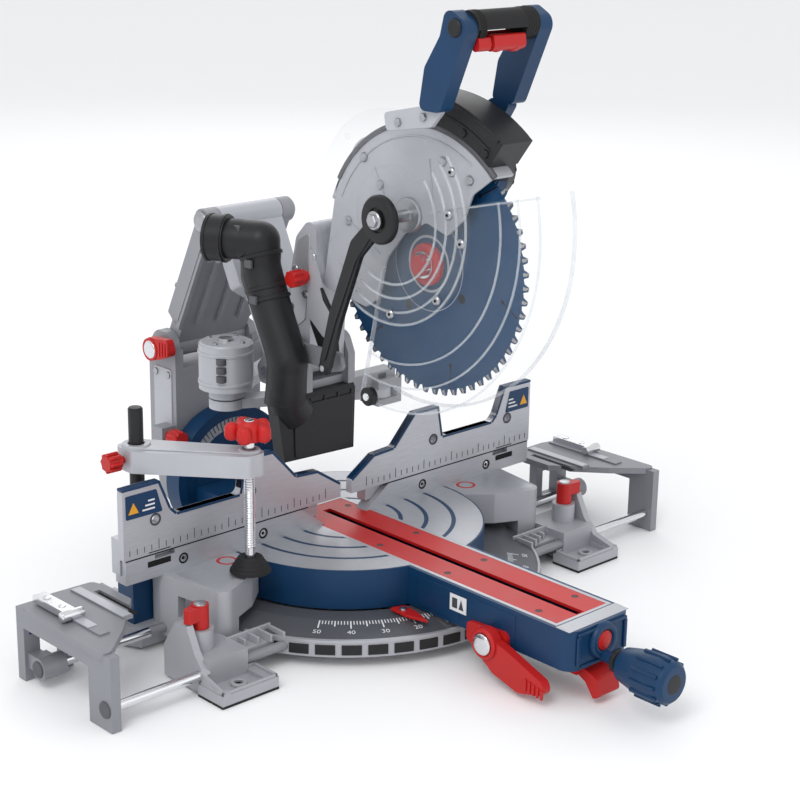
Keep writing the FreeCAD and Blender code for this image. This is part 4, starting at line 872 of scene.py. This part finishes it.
# extensions: raised ribs, stop details, rods and blank labels
def makeExtensions():
    for hand, tag, body, stop in ((-1, "Left", "extension_left", "stop_left"),
                                  (1, "Right", "extension_right", "stop_right")):
        bm = bmesh.new()
        for low, high in ((413.4, 425.6), (369.4, 381.6)):
            block(bm, sorted((hand * low, hand * high)), (-66, 33), (89.9, 90.6))
        piece(f"plateRibs{tag}", bm, "lightGrey", body, 0.4)
        # dark strip in the extension plate: painted shade down in its slot
        bm = bmesh.new()
        block(bm, sorted((hand * 355.4, hand * 362.6)), (-59, 15), (84.6, 85.2))
        piece(f"plateSlotShade{tag}", bm, "holeShade", body)
        bm = bmesh.new()
        turned(bm, "x", (-34, 94.9), [(hand * 410.6, 3.6), (hand * 410.8, 5.4), (hand * 413, 6),
                                      (hand * 437, 6),
                                      (hand * 438.4, 5.2), (hand * 438.6, 3.4)], 28)
        turned(bm, "z", (hand * 425, 14), [(98.6, 5.4), (99.9, 5), (100.1, 3)], 6)
        turned(bm, "z", (hand * 425, -16), [(98.6, 4.4), (99.8, 4), (100.0, 2.4)], 24)
        piece(f"stopScrews{tag}", bm, "chrome", stop, 0.3)
        bm = bmesh.new()
        for y in (-126, 2):
            turned(bm, "x", (y, 24), [(hand * 446.6, 6.6), (hand * 447.4, 9.6), (hand * 449, 9.2),
                                      (hand * 449.2, 5)], 28)
        piece(f"rodEnds{tag}", bm, "darkCast", body, 0.3)
        bm = bmesh.new()
        block(bm, (hand * 425 - 15, hand * 425 + 15), (28.4, 29.2), (54, 76))
        piece(f"extensionLabel{tag}", bm, "blue", body, 0.3)
        bm = bmesh.new()
        block(bm, (hand * 425 - 10, hand * 425 + 10), (28.0, 28.6), (60, 62))
        block(bm, (hand * 425 - 10, hand * 425 + 6), (28.0, 28.6), (66, 68))
        piece(f"extensionLabelLines{tag}", bm, "white", body)
        lock = f"lock_{tag.lower()}"
        bm = bmesh.new()
        turned(bm, "z", (hand * 300, -96), [(91.6, 7.6), (93.4, 7.2), (94, 4)], 28)
        piece(f"lockCap{tag}", bm, "steel", lock, 0.3)
        for y, place in ((-126, "Front"), (2, "Back")):
            bm = bmesh.new()
            hose(bm, [(hand * 300, y, 24), (hand * 443, y, 24)], 5.75, 28)
            piece(f"rodSkin{place}{tag}", bm, "chrome", body)


# clamp: winged knob, thread, cupped foot and small knob ribs
def makeClamp():
    x, y = -200, -60
    bm = bmesh.new()
    turned(bm, "z", (x, y), [(249.6, 10), (251, 15), (256, 17), (268, 15.5), (273, 11), (273.6, 4)], 40)
    for k in range(5):
        tip = polar((x, y), 19.5, 72 * k)
        turned(bm, "z", tip, [(251.4, 4), (253, 7), (257, 8.6), (266, 8), (270.4, 5.6), (271.2, 2)], 28)
    piece("clampKnob", bm, "red", "clamp_screw", 0.5)
    bm = bmesh.new()
    for k in range(28):
        z = 122 + k * 3
        turned(bm, "z", (x, y), [(z, 5.7), (z + 1, 6.45), (z + 1.6, 6.45), (z + 2.6, 5.7)], 26)
    turned(bm, "z", (x, y), [(104, 4), (104.4, 5.9), (250.4, 5.9), (250.6, 4)], 30)
    turned(bm, "z", (x, y), [(272.6, 6), (274.4, 5.6), (274.8, 3)], 24)
    piece("clampThread", bm, "chrome", "clamp_screw", 0, "clamp_screw")
    bm = bmesh.new()
    for r, z in ((23.6, 94), (21.2, 98), (18.6, 102), (16.2, 106)):
        turned(bm, "z", (x, y), [(z, r - 3), (z, r), (z + 1.8, r - 0.4), (z + 1.8, r - 3)], 44, ring=True)
    piece("clampFootRibs", bm, "rubber", "clamp_screw", 0.4)
    bm = bmesh.new()
    for k in range(8):
        at = polar((39, 224), 9.6, 45 * k)
        turned(bm, "x", at, [(-325.4, 1.6), (-324.4, 2.4), (-311, 2.4), (-309.6, 1.6)], 12)
    piece("clampLockRibs", bm, "red", "clamp_lock_knob")
    bm = bmesh.new()
    turned(bm, "z", (-284, 39), [(280.6, 8), (282.6, 7.4), (283, 3)], 28)
    piece("postCap", bm, "black", "base", 0.3)
    bm = bmesh.new()
    prism(bm, "z", [(-296, 30, 4), (-206, -72, 4), (-194, -62, 4), (-284, 40, 4)], 236.8, 238.6)
    turned(bm, "z", (x, y), [(236.6, 13), (240.6, 12), (240.6, 8), (236.6, 8)], 32, ring=True)
    turned(bm, "z", (-284, 39), [(236.6, 17), (240.4, 16), (240.4, 9.6), (236.6, 9.6)], 36, ring=True)
    piece("clampArmRib", bm, "lightGrey", "clamp_arm", 0.6)


# dust duct: one smooth hose over the CAD run, collar, clips and the ribbed chute
duct = {"radius": 24.1}


def makeDuct():
    lean = Vector((-0.5, 0.866, 0))
    bend = Vector((-70, 78, 437))
    top = bend + lean * 40
    bm = bmesh.new()
    path = bendy([top, bend + lean * 22, bend + Vector((0, 1, -8)), Vector((-70, 76, 404)),
                  Vector((-70, 54, 352)),
                  Vector((-70, 31, 304)), Vector((-70, 30, 268)), Vector((-66, 34, 246)),
                  Vector((-52, 36, 228))], 7)
    hose(bm, path, duct["radius"], 28)
    piece("ductHose", bm, "black", "carriage", 0)
    bm = bmesh.new()
    for start, r in ((42, 29.4), (62, 29.2)):
        a, b = bend + lean * start, bend + lean * (start + 4)
        hose(bm, [a, b], r, 36)
    for at, r in (((-70, 77, 420), 26.4), ((-70, 68, 382), 26.2), ((-70, 62, 370), 26.2)):
        way = Vector((0, -0.35, -1)).normalized() * 2.2
        hose(bm, [Vector(at) - way, Vector(at) + way], r, 32)
    piece("ductBands", bm, "black", "carriage", 0.5)
    bm = bmesh.new()
    for x, y, z in ((-94, 70, 414), (-95, 60, 372), (-94, 92, 452)):
        block(bm, (x - 3, x + 1), (y - 6, y + 6), (z - 5, z + 5))
    piece("ductClips", bm, "darkCast", "carriage", 0.8)
    bm = bmesh.new()
    prism(bm, "x", [(26, 246), (46, 246), (44, 252), (30, 252)], -88, 38)
    for k in range(6):
        x = -80 + 22 * k
        block(bm, (x, x + 3), (25.4, 27.4), (232, 245))
    piece("chuteRibs", bm, "black", "carriage", 0.6)
    # dark sheet inside the chute mouth: painted shade in the throat
    bm = bmesh.new()
    prism(bm, "y", [(-59, 235), (-57, 179), (29, 175), (30, 235)], 42.4, 43)
    piece("chuteThroatShade", bm, "holeShade", "carriage")
    bm = bmesh.new()
    prism(bm, "y", [(-62, 240, 5), (-60, 174, 5), (32, 170, 5), (33, 240, 5)], 25.0, 27.2)
    piece("chuteLip", bm, "black", "carriage", 0.6)


# glide linkage: ribs on the rear arm with painted shade for its pockets, caps on the pins, elbow barrel
# fittings
def makeLinkage():
    fold = math.radians(63.8)
    foot = Vector((0, 282.5, 262.6))
    along = Vector((0, -math.cos(fold), math.sin(fold)))
    out = Vector((0, math.sin(fold), math.cos(fold)))

    def onRear(x, run, lift):
        return (foot + along * run + out * lift + Vector((x, 0, 0))) * mm

    def rearBar(bm, a, b, wide, low, high):
        start, end = Vector(a), Vector(b)
        side = Vector((-(end - start).y, (end - start).x)).normalized() * wide / 2
        corners = [start - side, end - side, end + side, start + side]
        rings = [[bm.verts.new(onRear(c.x, c.y, lift)) for c in corners] for lift in (low, high)]
        bm.faces.new(rings[0])
        bm.faces.new(rings[1][::-1])
        for i in range(4):
            j = (i + 1) % 4
            bm.faces.new((rings[0][i], rings[0][j], rings[1][j], rings[1][i]))

    bm = bmesh.new()
    for low, high in ((42, 88), (92, 136)):
        rearBar(bm, (-60, low), (60, high), 5, 10.8, 15)
        rearBar(bm, (60, low), (-60, high), 5, 10.8, 15)
    rearBar(bm, (-66, 90), (66, 90), 6, 10.8, 16)
    piece("rearArmRibs", bm, "castGrey", "rear_arm", 0.8)
    # thin dark plates on the rear arm: painted shade standing in for its recessed pockets
    bm = bmesh.new()
    for cx in (-48, -17, 17, 48):
        for run in (54, 76, 104, 124):
            rearBar(bm, (cx - 7, run), (cx + 7, run), 10, 10.9, 11.4)
    piece("rearArmPocketShade", bm, "darkCast", "rear_arm", 0.4)
    knee = (194.4, 441.7)
    for name, hand in (("Left", -1), ("Right", 1)):
        bm = bmesh.new()
        turned(bm, "x", knee, [(hand * 73.6, 4), (hand * 73.8, 9), (hand * 72, 12.6), (hand * 67.6, 13)],
               36)
        piece(f"kneeCap{name}", bm, "steel", "rear_arm", 0.5)
        bm = bmesh.new()
        turned(bm, "x", (282.5, 262.6), [(hand * 75.6, 4), (hand * 75.8, 8), (hand * 74, 11),
                                         (hand * 69.6, 11.4)], 36)
        piece(f"columnCap{name}", bm, "steel", "column", 0.5)
    bm = bmesh.new()
    turned(bm, "x", (282.5, 262.6), [(-91.2, 5), (-91.4, 10), (-90, 12), (-88.8, 12)], 36)
    piece("glideBolt", bm, "chrome", "glide_lock_lever", 0.4)
    bm = bmesh.new()
    for k in range(4):
        block(bm, (-90.2, -88.6), (243 + 6 * k, 245.6 + 6 * k), (260 - k, 276))
    piece("glideLeverRibs", bm, "red", "glide_lock_lever", 0.3)
    centre = (-76.1, 139.9)
    bm = bmesh.new()
    turned(bm, "z", centre, [(299.6, 10), (299.6, 33), (302, 31), (303, 22), (303, 10)], 56, ring=True)
    turned(bm, "z", centre, [(250, 33.5), (250, 35.2), (254, 35.2), (254, 33.5)], 56, ring=True)
    turned(bm, "z", centre, [(288, 33.5), (288, 35.2), (292, 35.2), (292, 33.5)], 56, ring=True)
    piece("barrelRings", bm, "lightGrey", "lower_rear_link", 0.5)
    bm = bmesh.new()
    turned(bm, "z", centre, [(302.4, 0.01), (302.4, 10), (306, 9), (306.4, 5)], 32)
    for k in range(4):
        turned(bm, "z", polar(centre, 24, 90 * k + 20), [(302.6, 3.4), (304.6, 3.2), (305, 1.6)], 20)
    piece("barrelBolts", bm, "steel", "lower_rear_link", 0.3)
    bm = bmesh.new()
    for k in range(3):
        z = 258 + 11 * k
        turned(bm, "z", polar(centre, 33, 222), [(z, 6.4), (z + 8, 6.4)], 24)
    piece("barrelKnuckles", bm, "darkCast", "lower_rear_link", 0.6)


# column: panel, bevel scale band with marks, covers
def makeColumn():
    bm = bmesh.new()
    prism(bm, "x", [(262, 112, 6), (262, 236, 6), (300, 236, 6), (300, 112, 6)], -71.6, -69.6)
    piece("columnPanel", bm, "lightGrey", "column", 0.8)
    bm = bmesh.new()
    for y, z in ((268, 120), (294, 120), (268, 228), (294, 228)):
        turned(bm, "x", (y, z), [(-73.4, 2.4), (-73.6, 4.2), (-71.4, 4.8)], 20)
    piece("columnScrews", bm, "steel", "column", 0.3)
    bm = bmesh.new()
    for k in range(-50, 51, 5):
        a = math.radians(90 + k)
        reach = 66 if k % 15 else 62
        side = Vector((-math.sin(a), math.cos(a))) * 0.5
        near, far = (Vector((math.cos(a), math.sin(a))) * r + Vector((0, 89.9)) for r in (reach, 75))
        prism(bm, "y", [tuple(near - side), tuple(near + side), tuple(far + side), tuple(far - side)],
              225.6, 227.2)
    piece("bevelMarks", bm, "mark", "turntable")
    bm = bmesh.new()
    turned(bm, "y", (0, 89.9), [(226.4, 61), (226.4, 75.4), (227, 75.4), (227, 61)], 72, ring=True,
           sweep=(25, 155))
    piece("bevelBand", bm, "silverPaint", "turntable")
    # dark strips on the column back: painted shade in its slots
    bm = bmesh.new()
    for k in range(5):
        block(bm, (-44 + 20 * k, -32 + 20 * k), (310.4, 311.6), (118, 226))
    piece("columnBackSlotShade", bm, "darkCast", "column", 0.6)
    bm = bmesh.new()
    turned(bm, "y", (0, 89.9), [(331, 4), (331.8, 7), (331.8, 0.01)], 30)
    piece("lockShaftCap", bm, "steel", "bevel_lock_lever", 0.3)
    bm = bmesh.new()
    for k in range(10):
        at = polar((-81, 150), 9.6, 36 * k)
        turned(bm, "y", at, [(229, 1.6), (230, 2.2), (247, 2.2), (248, 1.6)], 12)
    piece("stopPinRibs", bm, "red", "bevel_stop_pin")
    bm = bmesh.new()
    for k in range(8):
        at = polar((36, 396), 8.6, 45 * k)
        turned(bm, "x", at, [(-59.4, 1.6), (-58.6, 2.2), (-44, 2.2), (-43, 1.6)], 12)
    piece("lockPinRibs", bm, "red", "head_lock_pin")


for make in (makeBlade, makeGuard, makeHead, makeHandle, makeTable, makeArmFront, makePointer, makeScale,
             makeFence,
             makeWings, makeExtensions, makeClamp, makeDuct, makeLinkage, makeColumn):
    make()
    print(make.__name__, "done")
